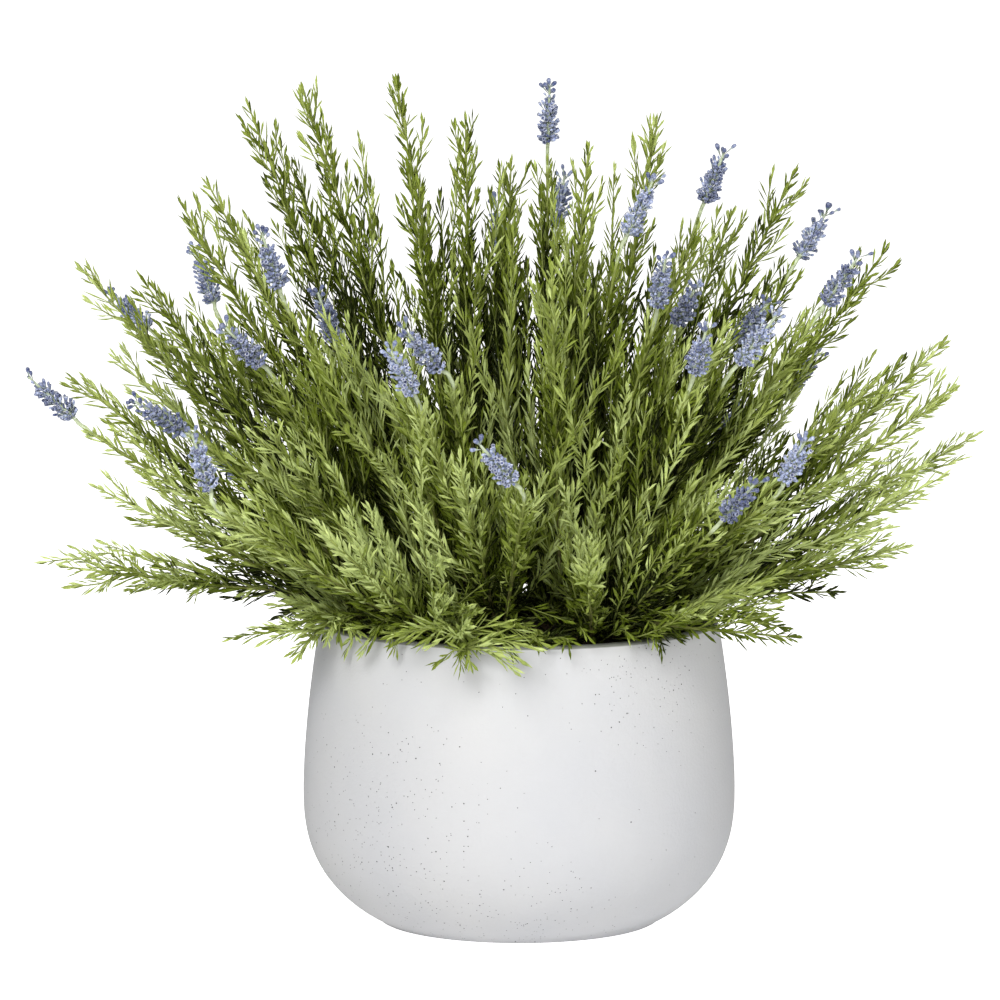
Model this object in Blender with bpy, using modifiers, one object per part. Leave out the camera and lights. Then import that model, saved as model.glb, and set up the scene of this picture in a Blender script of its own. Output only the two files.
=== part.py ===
"""Potted lavender: a round pot of soil with leafy branches and flower heads.

Metres, +Z up. The origin is on the pot's axis, where the foot stands on the table, and the
viewer looks along +Y with +X to the right. Sizes below are in millimetres and angles in degrees.
"""

import math

import bmesh
import bpy
import numpy as np
from mathutils import Matrix, Vector

MM = 0.001
SEED = 11
GOLDEN_ANGLE = 137.508

# The pot, turned round the Z axis.
POT_HEIGHT = 182
BELLY_RADIUS = 130
BELLY_HEIGHT = 80
BASE_RADIUS = 80
RIM_INSET = 10.3
ABOVE_BELLY_CURVE = 1.65
BELOW_BELLY_CURVE = 2.6
BELOW_BELLY_FULLNESS = 0.8
WALL = 9
FLOOR = 14
RIM_CHAMFER_ACROSS = 2
RIM_CHAMFER_DOWN = 3
FOOT_RADIUS = 82
FOOT_HEIGHT = 2
OUTER_HEIGHTS = (152, 116, 80, 54, 34, 18, 8)
INNER_HEIGHTS = (14, 45, 110, 168)
TURN_STEPS = 32
MERGE_DISTANCE = 0.01

# The soil, a low mound with one plain hole for each branch.
TOUCH_GAP = 0.3
SOIL_SIDE_GAP = 0.4
SOIL_MIDDLE = 174
SOIL_EDGE = 168
SOIL_RING = 58
CROWN_RADIUS = 3.2
CROWN_BOTTOM = 130
CROWN_ABOVE_SOIL = 8
HOLE_GAP = 0.45
CROWN_SIDES = 4
CROWN_SPREAD = 95
CROWN_EASE = 0.7
CROWN_SPACING = 17
CROWN_ROUNDS = 60

# Where the viewer's eye is, so that a place seen in the picture can be set at any depth.
EYE_DISTANCE = 3600
EYE_HEIGHT = 690

# Tips of the leafy stems as seen from the front: across and up at the pot's axis, then depth.
SPRAY_TIPS = (
    (-74, 511, 20), (-131, 507, -10), (-164, 497, 30), (-33, 489, -20), (-68, 460, -60),
    (-140, 463, 60), (-189, 450, 10), (-205, 437, -40), (-229, 391, -20), (-266, 398, 10),
    (-247, 345, 60), (-272, 331, 0), (-259, 265, -50), (-280, 217, -40), (-221, 251, 60),
    (-140, 159, -90), (-32, 151, -150), (84, 488, 10), (167, 457, 20), (130, 433, 60),
    (223, 410, 0), (42, 473, -30), (-5, 463, 40), (259, 353, 20), (265, 327, -30),
    (277, 296, 40), (260, 272, 0), (238, 229, -40), (196, 202, 40), (166, 180, -60),
    (223, 335, -60), (43, 220, -190),
)

# Foot and tip of each flower head as seen from the front, then the depth of its foot.
FLOWER_HEADS = (
    (-266, 303, -298, 332, -30), (-221, 357, -247, 378, 70), (-200, 295, -233, 317, -40),
    (-185, 259, -197, 298, -130), (-182, 372, -196, 407, 5), (-143, 381, -154, 418, -60),
    (-154, 335, -177, 362, -110), (-110, 349, -121, 384, -30), (-64, 318, -77, 346, -170),
    (-47, 332, -70, 360, -140), (-4, 264, -25, 291, -200), (17, 468, 18, 506, -10),
    (22, 418, 28, 450, 60), (64, 412, 82, 451, -50), (110, 432, 123, 468, -10),
    (82, 370, 87, 404, -100), (94, 360, 103, 381, -40), (104, 330, 110, 357, -140),
    (130, 335, 155, 368, -110), (130, 350, 148, 375, -30), (182, 371, 203, 404, -60),
    (167, 400, 187, 429, 20), (158, 265, 169, 291, -150), (122, 243, 138, 265, -160),
    (122, 282, 130, 311, 60), (-90, 320, -104, 350, 180), (60, 300, 66, 328, 200),
    (160, 318, 184, 345, 150), (-168, 268, -192, 292, 150), (-10, 400, -14, 438, 120),
)

# Leafy stems between those, spread evenly over a dome.
DOME_MIDDLE = (0, 0, 170)
DOME_REACH = (275, 225, 315)
DOME_RAGGED = 0.10
DOME_TRIES = 400
DOME_LEAN = 84
DOME_ROOM = 21
DOME_LOWEST = 196

# Stems. Each one bends from its crown to its end; one that leans past SPILL_LEAN hangs there.
STEM_NODES = 5
STEM_SAMPLES = 17
STEM_RADIUS = 1.5
STEM_TIP_RADIUS = 1.15
STEMS_PER_BRANCH = 3
BRANCH_RINGS = (0, 24, 44, 64, 180)
STEM_START_DEPTH = 4
STEM_START_ACROSS = 0.6
TIP_LEAN_SHARE = 0.85
SPILL_LEAN = 86
SPILL_DROOP = 14
FIRST_LEAN_SHARE = 0.75
FIRST_LEAN_MOST = 42
FIRST_HANDLE = 0.3
LAST_HANDLE = 0.35

# How the stems and heads are moved apart, a little in each round.
RIM_CLEARANCE = 7
RIM_INSIDE = 102
RIM_OUTSIDE = 129
STEM_ROOM = 4.7
HEAD_ROOM = 11.5
HEAD_PLACES = (0.2, 0.5, 0.8)
SETTLE_ROUNDS = 90
PUSH_SHARE = 0.6
STRAIGHTEN_SHARE = 0.06

# Flower heads: a tapered body of buds, a narrow neck and a top cluster.
HEAD_LENGTH = 42
HEAD_RADIUS = 10
HEAD_SIDES = 8
HEAD_RINGS = 8
HEAD_FOOT_RADIUS = 2.2
HEAD_FOOT_SHARE = 0.55
HEAD_FOOT_SLOPE = 3
HEAD_TAPER = 0.45
NECK_START = 0.68
NECK_END = 0.8
NECK_RADIUS = 3.4
TOP_RADIUS = 5.8
BUD_RISE = 3
BUD_HOLLOW = 0.52
STALK_LENGTH = 12
DEEPEST_TILT = 24

# Stems have four flat sides, and the leaves stand on them in pairs, each at right angles to the
# next, as on every plant of this family. A leaf that would touch another one leaves its stem at
# the next of its spreads, or is left out.
NEEDLE_LENGTH = 19
NEEDLE_VARIATION = 0.08
NEEDLE_WIDTH = 2.8
NEEDLE_THICKNESS = 0.9
NEEDLE_WIDEST = 0.56
NEEDLE_ROLL = 100
SUNK_SHARE = 0.5
NEEDLE_SPREADS = (36, 46, 27)
TUFT_SPREADS = (24, 32, 17)
TUFT_PLACES = (6, 11)
TUFT_REACH = 10
PAIR_SPACING = 51
FLOWER_PAIR_SPACING = 62
RUN_START = 1
RUN_END = 5
LEAFY_FROM = 0.24
BARE_STALK = 26
NEEDLE_ROOM = 2.6
STEM_NEEDLE_ROOM = 3.6
NEEDLE_START = 3
HEAD_START = 7
POT_ROOM = 2


def pot_radius(height):
    """Outer radius of the pot at a height."""
    if height > BELLY_HEIGHT:
        rise = (height - BELLY_HEIGHT) / (POT_HEIGHT - BELLY_HEIGHT)
        return BELLY_RADIUS - RIM_INSET * rise**ABOVE_BELLY_CURVE
    fall = (BELLY_HEIGHT - height) / BELLY_HEIGHT
    fullness = (1 - fall**BELOW_BELLY_CURVE) ** BELOW_BELLY_FULLNESS
    return BASE_RADIUS + (BELLY_RADIUS - BASE_RADIUS) * fullness


def soil_top(radius):
    """Height of the soil's surface at a distance from the pot's axis."""
    edge = pot_radius(SOIL_EDGE) - WALL
    return SOIL_MIDDLE - (SOIL_MIDDLE - SOIL_EDGE) * (radius / edge) ** 2


def seen(across, up, depth):
    """The point at a depth that the viewer sees at this place of the pot's own plane."""
    nearer = 1 + depth / EYE_DISTANCE
    return np.array((across * nearer, depth, EYE_HEIGHT + (up - EYE_HEIGHT) * nearer))


def unit(vector):
    """The vector at length one."""
    return vector / np.linalg.norm(vector)


def lean_of(vector):
    """Angle from upright."""
    return math.degrees(math.atan2(math.hypot(vector[0], vector[1]), vector[2]))


def azimuth_of(vector):
    """Angle round the Z axis, from +X."""
    return math.degrees(math.atan2(vector[1], vector[0]))


def leaning(lean, azimuth):
    """Unit vector at an angle from upright, towards an azimuth."""
    flat = math.sin(math.radians(lean))
    turn = math.radians(azimuth)
    return np.array((flat * math.cos(turn), flat * math.sin(turn), math.cos(math.radians(lean))))


class Stem:
    """One stem: where its bend ends and which way it points there.

    A flower stem goes on straight from there for its stalk's length, up to the head's foot.
    """

    def __init__(self, end, pointing, flowering):
        self.end = np.array(end, float)
        self.pointing = unit(np.array(pointing, float))
        self.flowering = flowering
        outward = self.end - DOME_MIDDLE
        self.lean = lean_of(outward)
        self.azimuth = azimuth_of(outward)
        self.branch = None
        self.curve = None
        self.tube = None
        self.sides = None
        self.needles = []


def leafy_stem(tip):
    """A leafy stem, whose end turns up a little, or hangs where it spills over the rim."""
    outward = np.array(tip) - DOME_MIDDLE
    lean = lean_of(outward)
    end_lean = TIP_LEAN_SHARE * lean if lean < SPILL_LEAN else lean + SPILL_DROOP
    pointing = leaning(end_lean, azimuth_of(outward))
    return Stem(tip - pointing * TUFT_REACH, pointing, False)


def flower_stem(foot_across, foot_up, tip_across, tip_up, depth):
    """A flower stem whose head has its true length, so its tilt in depth follows from the view."""
    across = tip_across - foot_across
    up = tip_up - foot_up
    towards = math.sqrt(max(HEAD_LENGTH**2 - across**2 - up**2, 0))
    pointing = unit(np.array((across, math.copysign(min(towards, DEEPEST_TILT), depth), up)))
    foot = seen(foot_across, foot_up, depth)
    return Stem(foot - pointing * STALK_LENGTH, pointing, True)


def dome_stems(known, draw):
    """Leafy stems in the gaps that the known ones leave, by a spiral over the dome."""
    directions = [unit(stem.end - DOME_MIDDLE) for stem in known if not stem.flowering]
    added = []
    highest = math.cos(math.radians(DOME_LEAN))
    for count in range(DOME_TRIES):
        lean = math.degrees(math.acos(1 - (count + 0.5) / DOME_TRIES * (1 - highest)))
        direction = leaning(lean, count * GOLDEN_ANGLE)
        reach = 1 / np.linalg.norm(direction / DOME_REACH)
        reach *= 1 - DOME_RAGGED * draw.random()
        apart = math.degrees(math.acos(min(1, max(direction @ other for other in directions))))
        if apart < DOME_ROOM:
            continue
        end = direction * reach + DOME_MIDDLE
        end[2] = max(end[2], DOME_LOWEST)
        directions.append(direction)
        added.append(leafy_stem(end))
    return added


def gather_branches(stems):
    """Put the stems in bunches of neighbours, each of which grows from one crown."""
    branches = []
    for low, high in zip(BRANCH_RINGS, BRANCH_RINGS[1:]):
        ring = sorted((s for s in stems if low <= s.lean < high), key=lambda s: s.azimuth)
        bunches = max(1, round(len(ring) / STEMS_PER_BRANCH))
        for picks in np.array_split(np.arange(len(ring)), bunches):
            branches.append([ring[pick] for pick in picks])
    for number, branch in enumerate(branches):
        for stem in branch:
            stem.branch = number
    return branches


def place_crowns(branches):
    """The place of each crown in the soil: the way its stems lean, and clear of its neighbours."""
    places = []
    for branch in branches:
        outward = sum(unit(stem.end - DOME_MIDDLE) for stem in branch) / len(branch)
        lean = sum(stem.lean for stem in branch) / len(branch)
        places.append(unit(outward[:2]) * CROWN_SPREAD * min(lean / 90, 1) ** CROWN_EASE)
    places = np.array(places)
    for _ in range(CROWN_ROUNDS):
        between = places[:, None] - places[None]
        apart = np.linalg.norm(between, axis=2) + np.eye(len(places)) * CROWN_SPACING
        push = np.clip(CROWN_SPACING - apart, 0, None) / 2
        places += (between / apart[..., None] * push[..., None]).sum(axis=1)
        reach = np.linalg.norm(places, axis=1, keepdims=True)
        places *= np.minimum(1, CROWN_SPREAD / reach)
    return places


def stem_curve(stem, crown):
    """The stem's first shape: a smooth bend from its crown to its end."""
    start = np.array((*crown, soil_top(np.linalg.norm(crown))))
    start[2] += CROWN_ABOVE_SOIL - STEM_START_DEPTH
    start[:2] += STEM_START_ACROSS * unit(stem.end[:2] - crown)
    chord = np.linalg.norm(stem.end - start)
    first_lean = min(FIRST_LEAN_SHARE * stem.lean, FIRST_LEAN_MOST)
    rising = leaning(first_lean, azimuth_of(stem.end[:2] - crown))
    first = start + rising * chord * FIRST_HANDLE
    last = stem.end - stem.pointing * chord * LAST_HANDLE
    along = np.linspace(0, 1, STEM_NODES)[:, None]
    back = 1 - along
    return (
        back**3 * start
        + 3 * back**2 * along * first
        + 3 * back * along**2 * last
        + along**3 * stem.end
    )


def settle(stems, curves):
    """Bend the stems and shift their ends in depth until they and the heads stand clear."""
    share = np.zeros((STEM_SAMPLES, STEM_NODES))
    for row, place in enumerate(np.linspace(0, STEM_NODES - 1, len(share))):
        left = min(int(place), STEM_NODES - 2)
        share[row, left] = left + 1 - place
        share[row, left + 1] = place - left
    back_share = share.T / share.sum(axis=0)[:, None]
    head_steps = STALK_LENGTH + HEAD_LENGTH * np.array(HEAD_PLACES)
    flowers = [index for index, stem in enumerate(stems) if stem.flowering]
    pointing = np.array([stems[index].pointing for index in flowers])
    own_stem = np.repeat(np.arange(len(stems)), len(share))
    owner = np.concatenate([own_stem, np.repeat(flowers, len(head_steps))])
    branch = np.array([stem.branch for stem in stems])[owner]
    is_head = np.arange(len(owner)) >= len(own_stem)
    room = np.where(is_head, HEAD_ROOM, STEM_ROOM)
    need = room[:, None] + room[None]
    free = owner[:, None] == owner[None]
    free |= (branch[:, None] == branch[None]) & ~is_head[:, None] & ~is_head[None]
    need = np.where(free, 0, need)
    for _ in range(SETTLE_ROUNDS):
        points = (share @ curves).reshape(-1, 3)
        feet = curves[flowers, -1]
        heads = feet[:, None] + pointing[:, None] * head_steps[:, None]
        points = np.concatenate([points, heads.reshape(-1, 3)])
        between = points[:, None] - points[None]
        apart = np.sqrt((between**2).sum(axis=2)) + 1e-6
        push = np.clip(need - apart, 0, None)
        crowded = np.maximum((push > 0).sum(axis=1), 1)[:, None]
        move = (between * (push / apart)[..., None]).sum(axis=1) * PUSH_SHARE / crowded
        on_stems = back_share @ move[: len(own_stem)].reshape(len(stems), -1, 3)
        on_stems[:, 1:-1] = (on_stems[:, :-2] + 2 * on_stems[:, 1:-1] + on_stems[:, 2:]) / 4
        on_stems[:, 0] = 0
        head_moves = move[len(own_stem) :].reshape(len(flowers), -1, 3).mean(axis=1)
        on_stems[flowers, -1] += head_moves
        on_stems[:, -1, 0] = 0
        on_stems[:, -1, 2] = 0
        curves = curves + on_stems
        bend = curves[:, :-2] + curves[:, 2:] - 2 * curves[:, 1:-1]
        curves[:, 1:-1] += STRAIGHTEN_SHARE * bend
        lift_over_rim(curves, share)
    for stem, curve in zip(stems, curves):
        if stem.flowering:
            curve = np.vstack([curve, curve[-1] + stem.pointing * STALK_LENGTH])
        stem.curve = curve


def lift_over_rim(curves, share):
    """Raise the nodes on each side of a stretch that would run into the rim or the soil."""
    points = share @ curves
    reach = np.hypot(points[..., 0], points[..., 1])
    floor = np.where(reach < RIM_INSIDE, SOIL_MIDDLE + CROWN_ABOVE_SOIL - STEM_START_DEPTH, 0)
    over_rim = (reach > RIM_INSIDE) & (reach < RIM_OUTSIDE)
    floor = np.where(over_rim, POT_HEIGHT + RIM_CLEARANCE, floor)
    lack = np.clip(floor - points[..., 2], 0, None)
    lift = (lack[:, :, None] * (share > 0)).max(axis=1)
    curves[:, 1:-1, 2] += lift[:, 1:-1] / 2


def segment_gap(start, end, starts, ends):
    """Least distance from one segment to each of many."""
    along = end - start
    others = ends - starts
    between = start - starts
    own_square = along @ along
    other_square = (others**2).sum(axis=1)
    on_other = (others * between).sum(axis=1)
    on_own = between @ along
    both = others @ along
    spread = np.maximum(own_square * other_square - both * both, 1e-9)
    here = np.clip((both * on_other - on_own * other_square) / spread, 0, 1)
    there = np.clip((both * here + on_other) / other_square, 0, 1)
    here = np.clip((both * there - on_own) / own_square, 0, 1)
    gap = start + here[:, None] * along - starts - there[:, None] * others
    return np.sqrt((gap**2).sum(axis=1))


def along_curve(curve, distance):
    """Point, direction and number of the straight run at a distance, kept off the run's ends."""
    steps = np.diff(curve, axis=0)
    lengths = np.linalg.norm(steps, axis=1)
    run = 0
    while run < len(lengths) - 1 and distance > lengths[run]:
        distance -= lengths[run]
        run += 1
    direction = steps[run] / lengths[run]
    place = np.clip(distance, RUN_START, lengths[run] - RUN_END)
    return curve[run] + direction * place, direction, run


def stem_radius(share):
    """Half the width across corners of a stem, at a share of its length."""
    return STEM_RADIUS + (STEM_TIP_RADIUS - STEM_RADIUS) * share


def hits_pot(points):
    """Whether any point lies on or in the pot or the soil."""
    for point in points:
        reach = math.hypot(point[0], point[1])
        if point[2] < POT_HEIGHT + POT_ROOM and reach < BELLY_RADIUS + POT_ROOM:
            wall = pot_radius(min(max(point[2], 0), POT_HEIGHT))
            if wall - WALL - POT_ROOM < reach < wall + POT_ROOM:
                return True
            if reach < wall and point[2] < soil_top(reach) + POT_ROOM:
                return True
    return False


class Needle:
    """One leaf: its root on the stem's middle line, its tip, the way it leaves, and its roll."""

    def __init__(self, root, tip, outward, roll):
        self.root = root
        self.tip = tip
        self.outward = outward
        self.roll = roll


class NeedleField:
    """The needles placed so far, with the stems and heads that new ones keep clear of."""

    def __init__(self, stems):
        self.starts = []
        self.ends = []
        self.room = []
        self.owners = []
        for number, stem in enumerate(stems):
            for start, end in zip(stem.curve, stem.curve[1:]):
                self.add(start, end, STEM_NEEDLE_ROOM, number)
            if stem.flowering:
                foot = stem.curve[-1]
                start = foot + stem.pointing * HEAD_START
                end = foot + stem.pointing * HEAD_LENGTH
                self.add(start, end, HEAD_RADIUS + NEEDLE_ROOM, -1)

    def add(self, start, end, room, owner):
        self.starts.append(start)
        self.ends.append(end)
        self.room.append(room)
        self.owners.append(owner)

    def is_clear(self, root, tip, owner):
        """Whether a needle from root to tip stays clear of all but its own stem."""
        start = root + unit(tip - root) * NEEDLE_START
        gap = segment_gap(start, tip, np.array(self.starts), np.array(self.ends))
        own = np.array(self.owners) == owner
        blocked = (gap < np.array(self.room)) & ~own
        return not blocked.any() and not hits_pot((start, (start + tip) / 2, tip))

    def free_tip(self, root, direction, outward, reach, spreads, owner):
        """The tip of a needle that leaves its stem at the first clear spread, or None."""
        for spread in spreads:
            turn = math.radians(spread)
            tip = root + (direction * math.cos(turn) + outward * math.sin(turn)) * reach
            if self.is_clear(root, tip, owner):
                return tip
        return None


def leaf_places(stem):
    """Distances along the stem of its pairs of leaves, from the tip down, each with its spreads."""
    length = np.linalg.norm(np.diff(stem.curve, axis=0), axis=1).sum()
    places = []
    if stem.flowering:
        spacing = FLOWER_PAIR_SPACING
        last = length - BARE_STALK
    else:
        spacing = PAIR_SPACING
        places = [(length - back, TUFT_SPREADS) for back in TUFT_PLACES]
        last = length - PAIR_SPACING
    first = LEAFY_FROM * length
    pairs = max(2, round((last - first) / spacing) + 1)
    return places + [(along, NEEDLE_SPREADS) for along in np.linspace(last, first, pairs)]


def place_needles(stems, draw):
    """Give each stem its pairs of needles, each on a flat side of the stem."""
    field = NeedleField(stems)
    for number, stem in enumerate(stems):
        for order, (along, spreads) in enumerate(leaf_places(stem)):
            root, direction, run = along_curve(stem.curve, along)
            for side in (order % 2, order % 2 + 2):
                outward = stem.sides[run][side]
                reach = NEEDLE_LENGTH * (1 + NEEDLE_VARIATION * (2 * draw.random() - 1))
                tip = field.free_tip(root, direction, outward, reach, spreads, number)
                if tip is None:
                    continue
                roll = NEEDLE_ROLL * (draw.random() - 0.5)
                field.add(root, tip, NEEDLE_ROOM, number)
                stem.needles.append(Needle(root, tip, outward, roll))


def make_material(name, colour, roughness):
    """A plain material."""
    material = bpy.data.materials.new(name)
    material.use_nodes = True
    shader = material.node_tree.nodes["Principled BSDF"]
    shader.inputs["Base Color"].default_value = (*colour, 1)
    shader.inputs["Roughness"].default_value = roughness
    shader.inputs["Metallic"].default_value = 0
    return material


def new_object(name, mesh, collection, material=None):
    """An object of this mesh, linked to a collection."""
    made = bpy.data.objects.new(name, mesh)
    collection.objects.link(made)
    if material:
        mesh.materials.append(material)
    return made


def turned(name, profile, collection, material):
    """An object turned round the Z axis from a profile of (radius, height) points."""
    mesh = bpy.data.meshes.new(name)
    points = [(radius * MM, 0, height * MM) for radius, height in profile]
    mesh.from_pydata(points, [(i, i + 1) for i in range(len(points) - 1)], [])
    made = new_object(name, mesh, collection, material)
    screw = made.modifiers.new("Turn", "SCREW")
    screw.steps = TURN_STEPS
    screw.render_steps = TURN_STEPS
    screw.use_smooth_shade = True
    screw.use_merge_vertices = True
    screw.merge_threshold = MERGE_DISTANCE * MM
    return made


def build_pot(collection):
    """The pot: inside, rim and outside in one profile."""
    inner = [(pot_radius(height) - WALL, height) for height in INNER_HEIGHTS]
    top = pot_radius(POT_HEIGHT)
    below_rim = POT_HEIGHT - RIM_CHAMFER_DOWN
    rim = [
        (top - WALL, below_rim),
        (top - WALL + RIM_CHAMFER_ACROSS, POT_HEIGHT),
        (top - RIM_CHAMFER_ACROSS, POT_HEIGHT),
        (top, below_rim),
    ]
    outer = [(pot_radius(height), height) for height in OUTER_HEIGHTS]
    foot = [(pot_radius(FOOT_HEIGHT), FOOT_HEIGHT), (FOOT_RADIUS, 0)]
    profile = [(0, FLOOR)] + inner + rim + outer + foot + [(0, 0)]
    stone = make_material("White stone", (0.76, 0.77, 0.79), 0.75)
    return turned("pot", profile, collection, stone)


def build_soil(collection, cutters, crowns):
    """The soil that fills the pot, with a hole for each crown."""
    side = [(pot_radius(h) - WALL - SOIL_SIDE_GAP, h) for h in reversed(INNER_HEIGHTS[1:])]
    bottom = FLOOR + TOUCH_GAP
    side.append((pot_radius(FLOOR) - WALL - SOIL_SIDE_GAP, bottom))
    profile = [(0, SOIL_MIDDLE), (SOIL_RING, soil_top(SOIL_RING))] + side + [(0, bottom)]
    earth = make_material("Dark soil", (0.035, 0.024, 0.016), 0.95)
    soil = turned("soil", profile, collection, earth)
    for number, crown in enumerate(crowns, start=1):
        hole_bottom = CROWN_BOTTOM - TOUCH_GAP
        mesh = prism_mesh("Hole", CROWN_RADIUS + HOLE_GAP, hole_bottom, POT_HEIGHT)
        hole = new_object(f"hole_{number:02d}", mesh, cutters)
        hole.location = (crown[0] * MM, crown[1] * MM, 0)
        hole.display_type = "WIRE"
        hole.hide_render = True
    cut = soil.modifiers.new("Holes for the branches", "BOOLEAN")
    cut.operation = "DIFFERENCE"
    cut.operand_type = "COLLECTION"
    cut.collection = cutters
    return soil


def prism_mesh(name, radius, bottom, top):
    """A plain upright prism on the Z axis."""
    shape = bmesh.new()
    bmesh.ops.create_cone(
        shape,
        cap_ends=True,
        segments=CROWN_SIDES,
        radius1=radius * MM,
        radius2=radius * MM,
        depth=(top - bottom) * MM,
        matrix=Matrix.Translation((0, 0, (top + bottom) / 2 * MM)),
    )
    mesh = bpy.data.meshes.new(name)
    shape.to_mesh(mesh)
    shape.free()
    return mesh


def tube_mesh(curve):
    """A four-sided stem as a mesh, from a curve through its nodes."""
    data = bpy.data.curves.new("Stem", "CURVE")
    data.dimensions = "3D"
    data.twist_mode = "MINIMUM"
    data.bevel_depth = MM
    data.bevel_resolution = 0
    data.use_fill_caps = True
    line = data.splines.new("POLY")
    line.points.add(len(curve) - 1)
    for number, place in enumerate(curve):
        line.points[number].co = (*(place * MM), 1)
        line.points[number].radius = stem_radius(number / (len(curve) - 1))
    drawn = bpy.data.objects.new("Stem", data)
    bpy.context.scene.collection.objects.link(drawn)
    graph = bpy.context.evaluated_depsgraph_get()
    mesh = bpy.data.meshes.new_from_object(drawn.evaluated_get(graph))
    shape = bmesh.new()
    shape.from_mesh(mesh)
    bmesh.ops.remove_doubles(shape, verts=shape.verts, dist=1e-6)
    shape.to_mesh(mesh)
    shape.free()
    bpy.data.objects.remove(drawn)
    return mesh


def flat_sides(mesh, curve):
    """For each straight run of a stem, the directions that its four flat sides face, in turn."""
    sides = []
    most_end_on = math.sin(math.radians(37))
    for start, end in zip(curve, curve[1:]):
        middle = Vector((start + end) / 2 * MM)
        direction = Vector(unit(end - start))
        walls = [f for f in mesh.polygons if abs(f.normal.dot(direction)) < most_end_on]
        walls.sort(key=lambda face: (face.center - middle).length)
        facing = [face.normal - direction * face.normal.dot(direction) for face in walls[:4]]
        across = facing[0].normalized()
        other = direction.cross(across)
        facing.sort(key=lambda normal: math.atan2(normal.dot(other), normal.dot(across)) % math.tau)
        sides.append([np.array(normal.normalized()) for normal in facing])
    return sides


def needle_object(needle, collection):
    """A three-sided needle: sunk to the back of its stem, widest past its middle, keeled below."""
    pointing = unit(needle.tip - needle.root)
    level = unit(np.cross(needle.outward, pointing))
    rise = np.cross(pointing, level)
    roll = math.radians(needle.roll)
    across = level * math.cos(roll) + rise * math.sin(roll)
    keel = np.cross(pointing, across)
    length = np.linalg.norm(needle.tip - needle.root)
    middle = needle.root + pointing * length * NEEDLE_WIDEST + keel * NEEDLE_THICKNESS
    shape = bmesh.new()
    bmesh.ops.create_cone(shape, cap_ends=True, segments=3, radius1=1, radius2=0, depth=1)
    for vert in shape.verts:
        if vert.co.z > 0:
            place = needle.tip
        elif vert.co.y > 0:
            place = needle.root - needle.outward * STEM_TIP_RADIUS * SUNK_SHARE
        else:
            place = middle + across * math.copysign(NEEDLE_WIDTH / 2, vert.co.x)
        vert.co = Vector(place * MM)
    bmesh.ops.recalc_face_normals(shape, faces=shape.faces)
    mesh = bpy.data.meshes.new("Needle")
    shape.to_mesh(mesh)
    shape.free()
    return new_object("Needle", mesh, collection)


def build_branch(name, branch, crown, collection, material):
    """One branch: a crown in its hole, the stems that grow from it and their needles, in one."""
    top = soil_top(np.linalg.norm(crown)) + CROWN_ABOVE_SOIL
    mesh = prism_mesh(name, CROWN_RADIUS, CROWN_BOTTOM, top)
    mesh.transform(Matrix.Translation((crown[0] * MM, crown[1] * MM, 0)))
    made = new_object(name, mesh, collection, material)
    pieces = bpy.data.collections.new("Pieces")
    bpy.context.scene.collection.children.link(pieces)
    for stem in branch:
        new_object("Stem", stem.tube, pieces)
        for needle in stem.needles:
            needle_object(needle, pieces)
    join = made.modifiers.new("Join", "BOOLEAN")
    join.operation = "UNION"
    join.operand_type = "COLLECTION"
    join.collection = pieces
    graph = bpy.context.evaluated_depsgraph_get()
    joined = bpy.data.meshes.new_from_object(made.evaluated_get(graph))
    made.modifiers.clear()
    made.data = joined
    for piece in list(pieces.objects):
        bpy.data.objects.remove(piece)
    bpy.data.collections.remove(pieces)
    return made


def head_profile(share):
    """Radius of the flower head's envelope at a share of its height."""
    if share < NECK_START:
        foot = min(1, HEAD_FOOT_SHARE + HEAD_FOOT_SLOPE * share)
        return HEAD_RADIUS * (1 - HEAD_TAPER * share) * foot
    if share < NECK_END:
        return NECK_RADIUS
    return TOP_RADIUS


def build_head(name, stem, collection, material):
    """A flower head: rings of bud tips standing out of the hollows between them."""
    shape = bmesh.new()
    bmesh.ops.create_uvsphere(shape, u_segments=HEAD_SIDES, v_segments=HEAD_RINGS, radius=1)
    for vert in shape.verts:
        polar = math.acos(max(-1, min(1, -vert.co.z)))
        ring = round(polar / math.pi * HEAD_RINGS)
        step = round(math.atan2(vert.co.y, vert.co.x) / math.tau * HEAD_SIDES)
        share = max(ring - 1, 0) / (HEAD_RINGS - 1)
        radius = head_profile(share)
        height = share * (HEAD_LENGTH - BUD_RISE)
        if ring == HEAD_RINGS:
            radius = 0
        elif ring <= 1:
            radius = HEAD_FOOT_RADIUS * ring
        elif (ring + step) % 2:
            radius *= BUD_HOLLOW
        else:
            height += BUD_RISE
        turn = step / HEAD_SIDES * math.tau
        vert.co = Vector((radius * math.cos(turn), radius * math.sin(turn), height)) * MM
    for face in shape.faces:
        face.smooth = True
    mesh = bpy.data.meshes.new(name)
    shape.to_mesh(mesh)
    shape.free()
    head = new_object(name, mesh, collection, material)
    head.location = (stem.curve[-1] + stem.pointing * TOUCH_GAP) * MM
    head.rotation_mode = "QUATERNION"
    head.rotation_quaternion = Vector(stem.pointing).to_track_quat("Z", "Y")
    return head


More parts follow.
